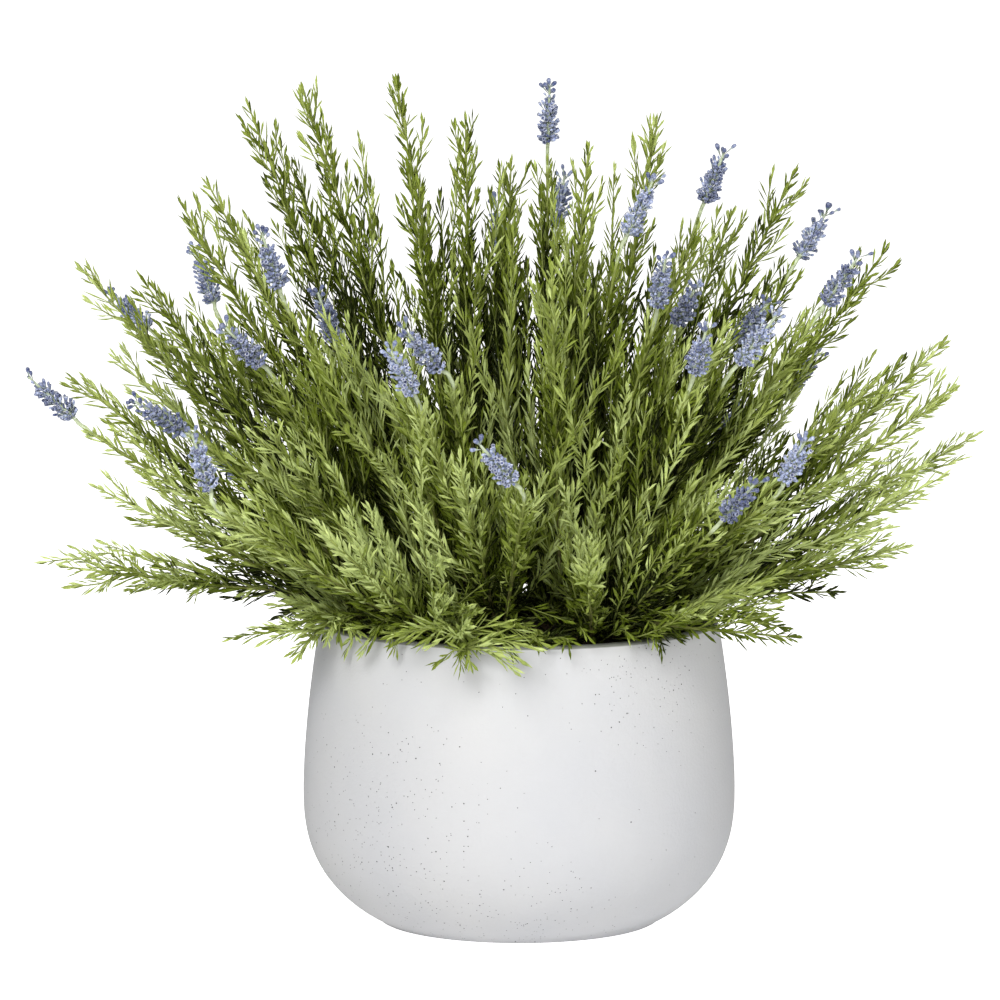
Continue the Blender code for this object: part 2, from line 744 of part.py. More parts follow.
def main():
    for leftover in list(bpy.data.objects):
        bpy.data.objects.remove(leftover)
    draw = np.random.default_rng(SEED)
    stems = [leafy_stem(seen(*place)) for place in SPRAY_TIPS]
    stems += [flower_stem(*place) for place in FLOWER_HEADS]
    stems += dome_stems(stems, draw)
    branches = gather_branches(stems)
    crowns = place_crowns(branches)
    curves = np.array([stem_curve(stem, crowns[stem.branch]) for stem in stems])
    settle(stems, curves)
    for stem in stems:
        stem.tube = tube_mesh(stem.curve)
        stem.sides = flat_sides(stem.tube, stem.curve)
    place_needles(stems, draw)

    scene = bpy.context.scene.collection
    plant = bpy.data.collections.new("Potted lavender")
    cutters = bpy.data.collections.new("Cutters")
    scene.children.link(plant)
    scene.children.link(cutters)
    build_pot(plant)
    build_soil(plant, cutters, crowns)
    leaf_green = make_material("Leaf green", (0.15, 0.24, 0.05), 0.6)
    for number, (branch, crown) in enumerate(zip(branches, crowns), start=1):
        build_branch(f"leafy_branch_{number:02d}", branch, crown, plant, leaf_green)
    lavender = make_material("Lavender blue", (0.24, 0.30, 0.55), 0.8)
    flowers = [stem for stem in stems if stem.flowering]
    for number, stem in enumerate(flowers, start=1):
        build_head(f"flower_head_{number:02d}", stem, plant, lavender)


main()
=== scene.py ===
"""Potted lavender: the finished looks of the pot, soil, leafy branches and flower heads.

Metres, +Z up. The origin is on the pot's axis, where the foot stands on the table, and the viewer
looks along +Y with +X to the right. Sizes below are in millimetres and angles in degrees. MM
turns them into metres where a mesh is made.
"""

from __future__ import annotations

import logging
import math
from collections.abc import Callable
from dataclasses import dataclass, field
from enum import Enum
from functools import cached_property

import bpy
import numpy as np
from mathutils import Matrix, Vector


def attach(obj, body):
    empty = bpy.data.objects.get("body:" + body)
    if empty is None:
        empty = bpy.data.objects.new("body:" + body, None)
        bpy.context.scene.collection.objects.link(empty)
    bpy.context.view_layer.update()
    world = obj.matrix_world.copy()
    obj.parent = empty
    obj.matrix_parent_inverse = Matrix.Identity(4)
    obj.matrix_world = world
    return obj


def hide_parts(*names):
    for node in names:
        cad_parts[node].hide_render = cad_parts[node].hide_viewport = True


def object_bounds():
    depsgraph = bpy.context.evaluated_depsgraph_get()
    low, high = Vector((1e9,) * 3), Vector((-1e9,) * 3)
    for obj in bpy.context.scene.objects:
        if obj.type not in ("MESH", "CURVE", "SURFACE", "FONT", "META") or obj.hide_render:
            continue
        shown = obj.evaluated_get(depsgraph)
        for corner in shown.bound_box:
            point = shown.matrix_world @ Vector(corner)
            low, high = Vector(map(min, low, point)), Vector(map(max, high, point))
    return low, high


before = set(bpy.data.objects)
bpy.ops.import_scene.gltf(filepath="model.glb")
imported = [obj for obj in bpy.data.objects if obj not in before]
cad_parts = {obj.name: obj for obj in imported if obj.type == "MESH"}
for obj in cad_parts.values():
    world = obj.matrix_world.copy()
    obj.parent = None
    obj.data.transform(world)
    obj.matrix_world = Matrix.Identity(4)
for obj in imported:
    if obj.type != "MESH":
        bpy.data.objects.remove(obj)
CAD_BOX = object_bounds()

LOG = logging.getLogger("potted lavender")
MM = 0.001
GOLDEN_ANGLE = 137.508

Colour = tuple[float, float, float]
Place = tuple[float, float, float]
Range = tuple[float, float]


class Slot(Enum):
    """The record's material slots."""

    POT = "pot"
    SOIL = "soil"
    LEAVES = "leaves"
    FLOWERS = "flowers"


def unit(vector: np.ndarray) -> np.ndarray:
    """The vector, or each row of it, at length one."""
    return vector / np.linalg.norm(vector, axis=-1, keepdims=True)


def lean_of(vector: np.ndarray) -> float:
    """Angle of a vector from upright."""
    return math.degrees(math.atan2(math.hypot(vector[0], vector[1]), vector[2]))


def azimuth_of(vector: np.ndarray) -> float:
    """Angle of a vector round the Z axis, from +X."""
    return math.degrees(math.atan2(vector[1], vector[0]))


def leaning(lean: float, azimuth: float) -> np.ndarray:
    """Unit vector at an angle from upright, towards an azimuth."""
    flat = math.sin(math.radians(lean))
    turn = math.radians(azimuth)
    return np.array((flat * math.cos(turn), flat * math.sin(turn), math.cos(math.radians(lean))))


class MeshParts:
    """Vertices, triangles and values at the vertices, gathered for one mesh."""

    VALUES = ("tone", "reach", "edge")

    def __init__(self) -> None:
        """Start with nothing gathered."""
        self.points: list[np.ndarray] = []
        self.triangles: list[np.ndarray] = []
        self.finishes: list[np.ndarray] = []
        self.values: dict[str, list[np.ndarray]] = {name: [] for name in self.VALUES}
        self.count = 0

    def add(
        self, points: np.ndarray, triangles: np.ndarray, finish: int = 0, **values: np.ndarray | float
    ) -> None:
        """Add a shape.

        Args:
            points: its vertices, in millimetres.
            triangles: three vertex numbers for each triangle.
            finish: the number of its material.
            **values: tone, reach and edge, each one number or one for each vertex.
        """
        self.points.append(points)
        self.triangles.append(triangles + self.count)
        self.finishes.append(np.full(len(triangles), finish))
        for name in self.VALUES:
            self.values[name].append(np.broadcast_to(values.get(name, 0), len(points)))
        self.count += len(points)

    def add_copies(
        self, copies: np.ndarray, triangles: np.ndarray, finish: int = 0, **values: np.ndarray | float
    ) -> None:
        """Add many shapes of one kind.

        Args:
            copies: the vertices of each shape, in millimetres.
            triangles: three vertex numbers for each triangle of one shape.
            finish: the number of their material.
            **values: tone, reach and edge, as numbers that fit the rows and columns of vertices.
        """
        count, size = copies.shape[:2]
        faces = triangles + size * np.arange(count)[:, None, None]
        rows = {name: np.broadcast_to(value, (count, size)).ravel() for name, value in values.items()}
        self.add(copies.reshape(-1, 3), faces.reshape(-1, 3), finish, **rows)

    def make(self, name: str, materials: list[bpy.types.Material], smooth: set[int]) -> bpy.types.Object:
        """Make one object of all that was gathered.

        Args:
            name: the object's name.
            materials: its materials, in the order of their numbers.
            smooth: the numbers of the materials whose faces are shaded smooth.

        Returns:
            The object, linked to the scene.
        """
        points = np.vstack(self.points) * MM
        triangles = np.vstack(self.triangles)
        finishes = np.concatenate(self.finishes)
        mesh = bpy.data.meshes.new(name)
        mesh.vertices.add(len(points))
        mesh.vertices.foreach_set("co", points.astype(np.float32).ravel())
        mesh.loops.add(triangles.size)
        mesh.loops.foreach_set("vertex_index", triangles.astype(np.int32).ravel())
        mesh.polygons.add(len(triangles))
        mesh.polygons.foreach_set("loop_start", np.arange(0, triangles.size, 3, dtype=np.int32))
        mesh.polygons.foreach_set("material_index", finishes.astype(np.int32))
        mesh.polygons.foreach_set("use_smooth", np.isin(finishes, list(smooth)))
        for value, parts in self.values.items():
            attribute = mesh.attributes.new(value, "FLOAT", "POINT")
            attribute.data.foreach_set("value", np.concatenate(parts).astype(np.float32))
        for material in materials:
            mesh.materials.append(material)
        mesh.update(calc_edges=True)
        mesh.validate()
        made = bpy.data.objects.new(name, mesh)
        bpy.context.scene.collection.objects.link(made)
        return made


def fan(middle: int, ring: np.ndarray) -> np.ndarray:
    """Triangles from a middle point to each two neighbours in a ring of points."""
    return np.stack([np.full(len(ring), middle), ring, np.roll(ring, -1)], axis=1)


def skin(rings: int, sides: int) -> np.ndarray:
    """Triangles of a skin over rings of points that are numbered ring by ring. Two more points,
    numbered after them, close it at the first ring and at the last.

    Args:
        rings: how many rings there are.
        sides: how many points each has.

    Returns:
        Three vertex numbers for each triangle.
    """
    side = np.arange(sides)
    starts = sides * np.arange(rings - 1)[:, None]
    here = (starts + side).ravel()
    beside = (starts + np.roll(side, -1)).ravel()
    low = np.stack([here, beside, beside + sides], axis=1)
    high = np.stack([here, beside + sides, here + sides], axis=1)
    first = fan(rings * sides, side)[:, ::-1]
    last = fan(rings * sides + 1, (rings - 1) * sides + side)
    return np.vstack([low, high, first, last])


def turned(profile: np.ndarray, sides: int) -> np.ndarray:
    """Rings of points round the Z axis, one for each radius and height of a profile."""
    turn = np.arange(sides) / sides * math.tau
    rings = np.empty((len(profile), sides, 3))
    rings[..., :2] = profile[:, None, :1] * np.stack([np.cos(turn), np.sin(turn)], axis=1)
    rings[..., 2] = profile[:, None, 1]
    return rings


def place(piece: bpy.types.Object, slot: Slot, *nodes: str) -> bpy.types.Object:
    """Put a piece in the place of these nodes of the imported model."""
    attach(piece, "root")
    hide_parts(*nodes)
    LOG.info("%s: %d faces", piece.name, len(piece.data.polygons))
    return piece


@dataclass
class StonePot:
    """The white stone pot, turned round the Z axis."""

    height: float = 182
    belly_radius: float = 130
    belly_height: float = 80
    base_radius: float = 80
    rim_inset: float = 10.3
    above_belly_curve: float = 1.65
    below_belly_curve: float = 2.6
    below_belly_fullness: float = 0.8
    wall: float = 9
    floor: float = 14
    foot_radius: float = 82
    foot_height: float = 2
    rim_rounding: float = 2.4
    sides: int = 160
    height_step: float = 3
    inner_rings: int = 24
    rim_rings: int = 7
    painted_from: float = 1.1
    foot_rounding: tuple[Range, ...] = ((2.4, 0.8), (1.2, 0.2), (0, 0))
    wall_samples: int = 92
    soil_middle: float = 174
    soil_edge: float = 168

    def radius(self, height: float) -> float:
        """Outer radius of the pot at a height."""
        if height > self.belly_height:
            rise = (height - self.belly_height) / (self.height - self.belly_height)
            return self.belly_radius - self.rim_inset * rise**self.above_belly_curve
        fall = (self.belly_height - height) / self.belly_height
        fullness = (1 - fall**self.below_belly_curve) ** self.below_belly_fullness
        return self.base_radius + (self.belly_radius - self.base_radius) * fullness

    def soil_top(self, radius: float) -> float:
        """Height of the soil's surface at a distance from the pot's axis."""
        edge = self.radius(self.soil_edge) - self.wall
        return self.soil_middle - (self.soil_middle - self.soil_edge) * (radius / edge) ** 2

    @cached_property
    def outer_wall(self) -> tuple[np.ndarray, np.ndarray]:
        """Heights up the pot, and its outer radius at each."""
        heights = np.linspace(0, self.height, self.wall_samples)
        return heights, np.array([self.radius(height) for height in heights])

    def is_hit(self, points: np.ndarray, room: float) -> np.ndarray:
        """Whether each point lies in, on or close to the pot or its soil.

        Args:
            points: places in millimetres, one a row.
            room: how close counts, in millimetres.

        Returns:
            One true or false for each point.
        """
        reach = np.hypot(points[:, 0], points[:, 1])
        up = points[:, 2]
        wall = np.interp(up, *self.outer_wall)
        in_wall = (up < self.height + room) & (reach > wall - self.wall - room)
        in_wall &= reach < wall + room
        in_soil = (reach < wall) & (up < self.soil_middle + room)
        return in_wall | in_soil

    def profile(self) -> list[tuple[float, float, float]]:
        """Radius, height and share of inside of each point, from the floor up and over the rim."""
        top = self.radius(self.height)
        rounding = self.rim_rounding
        inner_heights = np.linspace(self.floor, self.height - rounding, self.inner_rings)
        points = [(self.radius(up) - self.wall, up, 1) for up in inner_heights]
        bend = np.radians(np.linspace(0, 90, self.rim_rings))
        for turn in bend:
            across = rounding * (1 - math.cos(turn))
            points.append((top - self.wall + across, self.height - rounding * (1 - math.sin(turn)), 1))
        for turn in bend:
            across = rounding * (1 - math.sin(turn))
            # The rim's top and its upper rounding take the inside's grey, with its painted shade.
            inside = float(turn < self.painted_from)
            points.append((top - across, self.height - rounding * (1 - math.cos(turn)), inside))
        outer_heights = np.arange(self.height - rounding - 1, self.foot_height, -self.height_step)
        points += [(self.radius(up), up, 0) for up in (*outer_heights, self.foot_height)]
        return points + [(self.foot_radius + out, up, 0) for out, up in self.foot_rounding]

    def build(self, finish: StoneFinish) -> bpy.types.Object:
        """Make the pot.

        Args:
            finish: what it is made of.

        Returns:
            The pot's object.
        """
        profile = np.array(self.profile())
        rings = turned(profile, self.sides).reshape(-1, 3)
        inward = np.append(np.repeat(profile[:, 2], self.sides), (1, 0))
        parts = MeshParts()
        points = np.vstack([rings, (0, 0, self.floor), (0, 0, 0)])
        parts.add(points, skin(len(profile), self.sides)[:, ::-1], edge=inward)
        pot = parts.make("stone_pot", [finish.material()], {0})
        return place(pot, Slot.POT, "pot")


@dataclass
class Stem:
    """One stem of the bush, in millimetres.

    Attributes:
        end: where its bend ends.
        pointing: the way it points there.
        flowering: whether it goes on to a flower head.
        lean: how far it leans from upright.
        azimuth: the way it leans.
        branch: the number of its branch.
        curve: its nodes, once the bush has settled.
    """

    end: np.ndarray
    pointing: np.ndarray
    flowering: bool
    lean: float = 0
    azimuth: float = 0
    branch: int = 0
    curve: np.ndarray | None = None


# Tips of the leafy stems as seen from the front: across and up at the pot's axis, then depth.
SPRAY_TIPS = (
    (-74, 511, 20), (-131, 507, -10), (-164, 497, 30), (-33, 489, -20), (-68, 460, -60),
    (-140, 463, 60), (-189, 450, 10), (-205, 437, -40), (-229, 391, -20), (-266, 398, 10),
    (-247, 345, 60), (-272, 331, 0), (-259, 265, -50), (-280, 217, -40), (-221, 251, 60),
    (-140, 159, -90), (-32, 151, -150), (84, 488, 10), (167, 457, 20), (130, 433, 60),
    (223, 410, 0), (42, 473, -30), (-5, 463, 40), (259, 353, 20), (265, 327, -30),
    (277, 296, 40), (260, 272, 0), (238, 229, -40), (196, 202, 40), (166, 180, -60),
    (223, 335, -60), (43, 220, -190),
)

# Foot and tip of each flower head as seen from the front, then the depth of its foot.
FLOWER_HEADS = (
    (-266, 303, -298, 332, -30), (-221, 357, -247, 378, 70), (-200, 295, -233, 317, -40),
    (-185, 259, -197, 298, -130), (-182, 372, -196, 407, 5), (-143, 381, -154, 418, -60),
    (-154, 335, -177, 362, -110), (-110, 349, -121, 384, -30), (-64, 318, -77, 346, -170),
    (-47, 332, -70, 360, -140), (-4, 264, -25, 291, -200), (17, 468, 18, 506, -10),
    (22, 418, 28, 450, 60), (64, 412, 82, 451, -50), (110, 432, 123, 468, -10),
    (82, 370, 87, 404, -100), (94, 360, 103, 381, -40), (104, 330, 110, 357, -140),
    (130, 335, 155, 368, -110), (130, 350, 148, 375, -30), (182, 371, 203, 404, -60),
    (167, 400, 187, 429, 20), (158, 265, 169, 291, -150), (122, 243, 138, 265, -160),
    (122, 282, 130, 311, 60), (-90, 320, -104, 350, 180), (60, 300, 66, 328, 200),
    (160, 318, 184, 345, 150), (-168, 268, -192, 292, 150), (-10, 400, -14, 438, 120),
)


@dataclass
class BushLayout:
    """Where every stem of the bush runs, from its crown in the soil to its tip."""

    pot: StonePot
    seed: int = 11
    eye_distance: float = 3600
    eye_height: float = 690
    dome_middle: Place = (0, 0, 170)
    dome_reach: Place = (275, 225, 315)
    dome_ragged: float = 0.10
    dome_tries: int = 400
    dome_lean: float = 84
    dome_room: float = 21
    dome_lowest: float = 196
    tuft_reach: float = 10
    tip_lean_share: float = 0.85
    spill_lean: float = 86
    spill_droop: float = 14
    head_length: float = 42
    stalk_length: float = 12
    deepest_tilt: float = 24
    branch_rings: tuple[float, ...] = (0, 24, 44, 64, 180)
    stems_per_branch: int = 3
    crown_spread: float = 95
    crown_ease: float = 0.7
    crown_spacing: float = 17
    crown_rounds: int = 60
    start_above_soil: float = 4
    start_across: float = 0.6
    first_lean_share: float = 0.75
    first_lean_most: float = 42
    first_handle: float = 0.3
    last_handle: float = 0.35
    nodes: int = 5
    samples: int = 17
    stem_room: float = 4.7
    head_room: float = 11.5
    head_places: tuple[float, ...] = (0.2, 0.5, 0.8)
    rounds: int = 90
    push_share: float = 0.6
    straighten_share: float = 0.06
    rim_clearance: float = 7
    rim_inside: float = 102
    rim_outside: float = 129
    stems: list[Stem] = field(default_factory=list)
    branches: list[list[Stem]] = field(default_factory=list)
    crowns: np.ndarray | None = None

    def build(self) -> None:
        """Work out the stems, their branches and crowns, and let them settle."""
        draw = np.random.default_rng(self.seed)
        self.stems = [self.leafy_stem(self.seen(*tip)) for tip in SPRAY_TIPS]
        self.stems += [self.flower_stem(*head) for head in FLOWER_HEADS]
        self.stems += self.dome_stems(draw)
        self.gather_branches()
        self.place_crowns()
        curves = np.array([self.first_curve(stem) for stem in self.stems])
        self.settle(curves)

    def seen(self, across: float, up: float, depth: float) -> np.ndarray:
        """The point at a depth that the viewer sees at this place of the pot's own plane."""
        nearer = 1 + depth / self.eye_distance
        return np.array((across * nearer, depth, self.eye_height + (up - self.eye_height) * nearer))

    def new_stem(self, end: np.ndarray, pointing: np.ndarray, flowering: bool) -> Stem:
        """A stem with its lean and azimuth from the bush's middle."""
        outward = end - self.dome_middle
        return Stem(end, unit(pointing), flowering, lean_of(outward), azimuth_of(outward))

    def leafy_stem(self, tip: np.ndarray) -> Stem:
        """A leafy stem whose end turns up a little, or hangs where it spills over the rim."""
        outward = tip - self.dome_middle
        lean = lean_of(outward)
        end_lean = self.tip_lean_share * lean if lean < self.spill_lean else lean + self.spill_droop
        pointing = leaning(end_lean, azimuth_of(outward))
        return self.new_stem(tip - pointing * self.tuft_reach, pointing, False)

    def flower_stem(
        self, foot_across: float, foot_up: float, tip_across: float, tip_up: float, depth: float
    ) -> Stem:
        """A flower stem whose head has its true length, so that its tilt follows from the view.

        Args:
            foot_across: how far to the right the head's foot is seen.
            foot_up: how high its foot is seen.
            tip_across: how far to the right its tip is seen.
            tip_up: how high its tip is seen.
            depth: how far behind the pot's axis its foot is.

        Returns:
            The stem that carries it.
        """
        across = tip_across - foot_across
        up = tip_up - foot_up
        towards = math.sqrt(max(self.head_length**2 - across**2 - up**2, 0))
        tilt = math.copysign(min(towards, self.deepest_tilt), depth)
        pointing = unit(np.array((across, tilt, up)))
        foot = self.seen(foot_across, foot_up, depth)
        return self.new_stem(foot - pointing * self.stalk_length, pointing, True)

    def dome_stems(self, draw: np.random.Generator) -> list[Stem]:
        """Leafy stems in the gaps that the known ones leave, by a spiral over the dome."""
        known = [unit(s.end - self.dome_middle) for s in self.stems if not s.flowering]
        added = []
        highest = math.cos(math.radians(self.dome_lean))
        for count in range(self.dome_tries):
            lean = math.degrees(math.acos(1 - (count + 0.5) / self.dome_tries * (1 - highest)))
            direction = leaning(lean, count * GOLDEN_ANGLE)
            reach = 1 / np.linalg.norm(direction / self.dome_reach)
            reach *= 1 - self.dome_ragged * draw.random()
            nearest = max(direction @ other for other in known)
            if math.degrees(math.acos(min(1, nearest))) < self.dome_room:
                continue
            end = direction * reach + self.dome_middle
            end[2] = max(end[2], self.dome_lowest)
            known.append(direction)
            added.append(self.leafy_stem(end))
        return added

    def gather_branches(self) -> None:
        """Put the stems in bunches of neighbours, each of which grows from one crown."""
        for low, high in zip(self.branch_rings, self.branch_rings[1:]):
            ring = [stem for stem in self.stems if low <= stem.lean < high]
            ring.sort(key=lambda stem: stem.azimuth)
            bunches = max(1, round(len(ring) / self.stems_per_branch))
            for picks in np.array_split(np.arange(len(ring)), bunches):
                for pick in picks:
                    ring[pick].branch = len(self.branches)
                self.branches.append([ring[pick] for pick in picks])

    def place_crowns(self) -> None:
        """Set each crown the way that its stems lean, and clear of its neighbours."""
        places = []
        for branch in self.branches:
            outward = sum(unit(stem.end - self.dome_middle) for stem in branch) / len(branch)
            lean = sum(stem.lean for stem in branch) / len(branch)
            reach = self.crown_spread * min(lean / 90, 1) ** self.crown_ease
            places.append(unit(outward[:2]) * reach)
        places = np.array(places)
        for _ in range(self.crown_rounds):
            between = places[:, None] - places[None]
            apart = np.linalg.norm(between, axis=2) + np.eye(len(places)) * self.crown_spacing
            push = np.clip(self.crown_spacing - apart, 0, None) / 2
            places += (between / apart[..., None] * push[..., None]).sum(axis=1)
            reach = np.linalg.norm(places, axis=1, keepdims=True)
            places *= np.minimum(1, self.crown_spread / reach)
        self.crowns = places

    def first_curve(self, stem: Stem) -> np.ndarray:
        """The stem's first shape: a smooth bend from its crown to its end."""
        crown = self.crowns[stem.branch]
        top = self.pot.soil_top(np.linalg.norm(crown)) + self.start_above_soil
        start = np.array((*crown, top))
        start[:2] += self.start_across * unit(stem.end[:2] - crown)
        chord = np.linalg.norm(stem.end - start)
        first_lean = min(self.first_lean_share * stem.lean, self.first_lean_most)
        rising = leaning(first_lean, azimuth_of(stem.end[:2] - crown))
        first = start + rising * chord * self.first_handle
        last = stem.end - stem.pointing * chord * self.last_handle
        along = np.linspace(0, 1, self.nodes)[:, None]
        back = 1 - along
        near = back**3 * start + 3 * back**2 * along * first
        return near + 3 * back * along**2 * last + along**3 * stem.end

    def sample_shares(self) -> np.ndarray:
        """How much each node counts at each sample along a stem."""
        share = np.zeros((self.samples, self.nodes))
        for row, where in enumerate(np.linspace(0, self.nodes - 1, self.samples)):
            left = min(int(where), self.nodes - 2)
            share[row, left] = left + 1 - where
            share[row, left + 1] = where - left
        return share

    def settle(self, curves: np.ndarray) -> None:
        """Bend the stems and shift their ends in depth until they and the heads stand clear.

        Args:
            curves: the nodes of every stem, in the order of the stems.
        """
        share = self.sample_shares()
        back_share = share.T / share.sum(axis=0)[:, None]
        steps = self.stalk_length + self.head_length * np.array(self.head_places)
        flowers = [index for index, stem in enumerate(self.stems) if stem.flowering]
        pointing = np.array([self.stems[index].pointing for index in flowers])
        own_stem = np.repeat(np.arange(len(self.stems)), self.samples)
        owner = np.concatenate([own_stem, np.repeat(flowers, len(steps))])
        branch = np.array([stem.branch for stem in self.stems])[owner]
        is_head = np.arange(len(owner)) >= len(own_stem)
        room = np.where(is_head, self.head_room, self.stem_room)
        need = room[:, None] + room[None]
        free = owner[:, None] == owner[None]
        free |= (branch[:, None] == branch[None]) & ~is_head[:, None] & ~is_head[None]
        need_square = np.where(free, -1, need**2)
        for _ in range(self.rounds):
            points = (share @ curves).reshape(-1, 3)
            heads = curves[flowers, -1][:, None] + pointing[:, None] * steps[:, None]
            points = np.concatenate([points, heads.reshape(-1, 3)])
            square = (points**2).sum(axis=1)
            gap_square = square[:, None] + square[None] - 2 * points @ points.T
            here, there = np.nonzero(gap_square < need_square)
            between = points[here] - points[there]
            apart = np.linalg.norm(between, axis=1) + 1e-6
            push = np.clip(need[here, there] - apart, 0, None)
            crowded = np.maximum(np.bincount(here[push > 0], minlength=len(points)), 1)
            move = np.zeros_like(points)
            np.add.at(move, here, between * (push / apart)[:, None])
            move *= self.push_share / crowded[:, None]
            on_stems = back_share @ move[: len(own_stem)].reshape(len(curves), -1, 3)
            on_stems[:, 1:-1] = (on_stems[:, :-2] + 2 * on_stems[:, 1:-1] + on_stems[:, 2:]) / 4
            on_stems[:, 0] = 0
            head_moves = move[len(own_stem) :].reshape(len(flowers), -1, 3).mean(axis=1)
            on_stems[flowers, -1] += head_moves
            on_stems[:, -1, 0] = 0
            on_stems[:, -1, 2] = 0
            curves = curves + on_stems
            bend = curves[:, :-2] + curves[:, 2:] - 2 * curves[:, 1:-1]
            curves[:, 1:-1] += self.straighten_share * bend
            self.lift_over_rim(curves, share)
        for stem, curve in zip(self.stems, curves):
            stem.curve = curve
            if stem.flowering:
                stem.curve = np.vstack([curve, curve[-1] + stem.pointing * self.stalk_length])

    def lift_over_rim(self, curves: np.ndarray, share: np.ndarray) -> None:
        """Raise the nodes on each side of a stretch that would run into the rim or the soil.

        Args:
            curves: the nodes of every stem, which are changed.
            share: how much each node counts at each sample.
        """
        points = share @ curves
        reach = np.hypot(points[..., 0], points[..., 1])
        low = self.pot.soil_middle + self.start_above_soil
        floor = np.where(reach < self.rim_inside, low, 0)
        over_rim = (reach > self.rim_inside) & (reach < self.rim_outside)
        floor = np.where(over_rim, self.pot.height + self.rim_clearance, floor)
        lack = np.clip(floor - points[..., 2], 0, None)
        lift = (lack[:, :, None] * (share > 0)).max(axis=1)
        curves[:, 1:-1, 2] += lift[:, 1:-1] / 2


class Line:
    """A smooth line through a stem's nodes, with its directions at each point."""

    def __init__(self, nodes: np.ndarray, step: float) -> None:
        """Draw the line.

        Args:
            nodes: the places that it goes through, in millimetres.
            step: how far apart its points are, about.
        """
        padded = np.vstack([2 * nodes[0] - nodes[1], nodes, 2 * nodes[-1] - nodes[-2]])
        pieces = []
        for before, start, end, after in zip(padded, padded[1:], padded[2:], padded[3:]):
            count = max(2, round(np.linalg.norm(end - start) / step))
            t = np.linspace(0, 1, count, endpoint=False)[:, None]
            bend = (2 * before - 5 * start + 4 * end - after) * t**2
            bend += (3 * start - before - 3 * end + after) * t**3
            pieces.append(start + ((end - before) * t + bend) / 2)
        self.points = np.vstack([*pieces, nodes[-1:]])
        gaps = np.linalg.norm(np.diff(self.points, axis=0), axis=1)
        self.distance = np.concatenate([[0], np.cumsum(gaps)])
        self.length = self.distance[-1]
        self.direction = unit(np.gradient(self.points, axis=0))
        self.across = np.empty_like(self.points)
        sideways = (0.3, 0.2, 1) if abs(self.direction[0, 2]) < 0.9 else (1, 0, 0)
        side = np.cross(self.direction[0], sideways)
        for index, direction in enumerate(self.direction):
            side = unit(side - direction * (side @ direction))
            self.across[index] = side

    def at(self, places: np.ndarray) -> tuple[np.ndarray, np.ndarray, np.ndarray]:
        """Point, direction and direction across at each of these distances along the line."""
        found = [
            np.stack([np.interp(places, self.distance, rows[:, axis]) for axis in range(3)], axis=1)
            for rows in (self.points, self.direction, self.across)
        ]
        return found[0], unit(found[1]), unit(found[2])

    def tube(self, radii: np.ndarray, sides: int) -> tuple[np.ndarray, np.ndarray]:
        """A round tube along the line, closed at both ends.

        Args:
            radii: its radius at each point of the line.
            sides: how many sides it has.

        Returns:
            Its vertices and its triangles.
        """
        other = np.cross(self.direction, self.across)
        turn = np.arange(sides) / sides * math.tau
        around = self.across[:, None] * np.cos(turn)[:, None] + other[:, None] * np.sin(turn)[:, None]
        rings = self.points[:, None] + around * radii[:, None, None]
        points = np.vstack([rings.reshape(-1, 3), self.points[0], self.points[-1]])
        return points, skin(len(self.points), sides)


@dataclass(frozen=True)
class LeafBlade:
    """One narrow leaf as a closed blade, pointed at both ends and folded along its midrib. Each
    value has a number for every point of the outline, from the root round to the root, and then
    for its upper and lower middle points."""

    along: tuple[float, ...] = (0, 0.34, 0.74, 1, 0.74, 0.34, 0.58, 0.58)
    across: tuple[float, ...] = (0, -0.34, -0.5, 0, 0.5, 0.34, 0, 0)
    fold: tuple[float, ...] = (0, 0.10, 0.14, 0, 0.14, 0.10, -0.05, -0.27)
    edge: tuple[float, ...] = (0.3, 1, 1, 0.6, 1, 1, 0, 0)

    @property
    def faces(self) -> np.ndarray:
        """Triangles from each middle point to the outline."""
        count = len(self.along) - 2
        outline = np.arange(count)
        return np.vstack([fan(count, outline), fan(count + 1, outline)[:, ::-1]])

    def blades(
        self,
        root: np.ndarray,
        direction: np.ndarray,
        upper: np.ndarray,
        length: np.ndarray,
        width: np.ndarray,
        bend: np.ndarray,
    ) -> np.ndarray:
        """The vertices of many leaves.

        Args:
            root: where each one starts.
            direction: the way each one points.
            upper: the way its upper face looks.
            length: its length.
            width: its greatest width.
            bend: how far its tip bends towards its upper face, as a share of its length.

        Returns:
            The vertices of each leaf, in rows.
        """
        side = np.cross(upper, direction)
        along = np.array(self.along)
        rise = bend[:, None] * along**2 * length[:, None] + np.array(self.fold) * width[:, None]
        points = root[:, None] + direction[:, None] * (along * length[:, None])[..., None]
        points += side[:, None] * (np.array(self.across) * width[:, None])[..., None]
        return points + upper[:, None] * rise[..., None]


WIDE_BLADE = LeafBlade()
SLIM_BLADE = LeafBlade(
    along=(0, 0.64, 1, 0.64, 0.52, 0.52),
    across=(0, -0.5, 0, 0.5, 0, 0),
    fold=(0, 0.14, 0, 0.14, -0.05, -0.3),
    edge=(0.3, 1, 0.6, 1, 0, 0),
)


@dataclass(frozen=True)
class Foliage:
    """How the leaves stand along a stem or side shoot.

    Attributes:
        blade: the form of each leaf.
        spacing: from one pair of leaf fans to the next.
        turn: from one pair to the next, round the stem.
        fan: the leaves of one fan, each by its angle to the side and its share of the length.
        length: the length of the longest leaves.
        width: their width.
        spread: their angle from the stem.
        tip_share: what is left of the length at the tip.
    """

    blade: LeafBlade
    spacing: float
    turn: float
    fan: tuple[Range, ...]
    length: float
    width: float
    spread: float
    tip_share: float


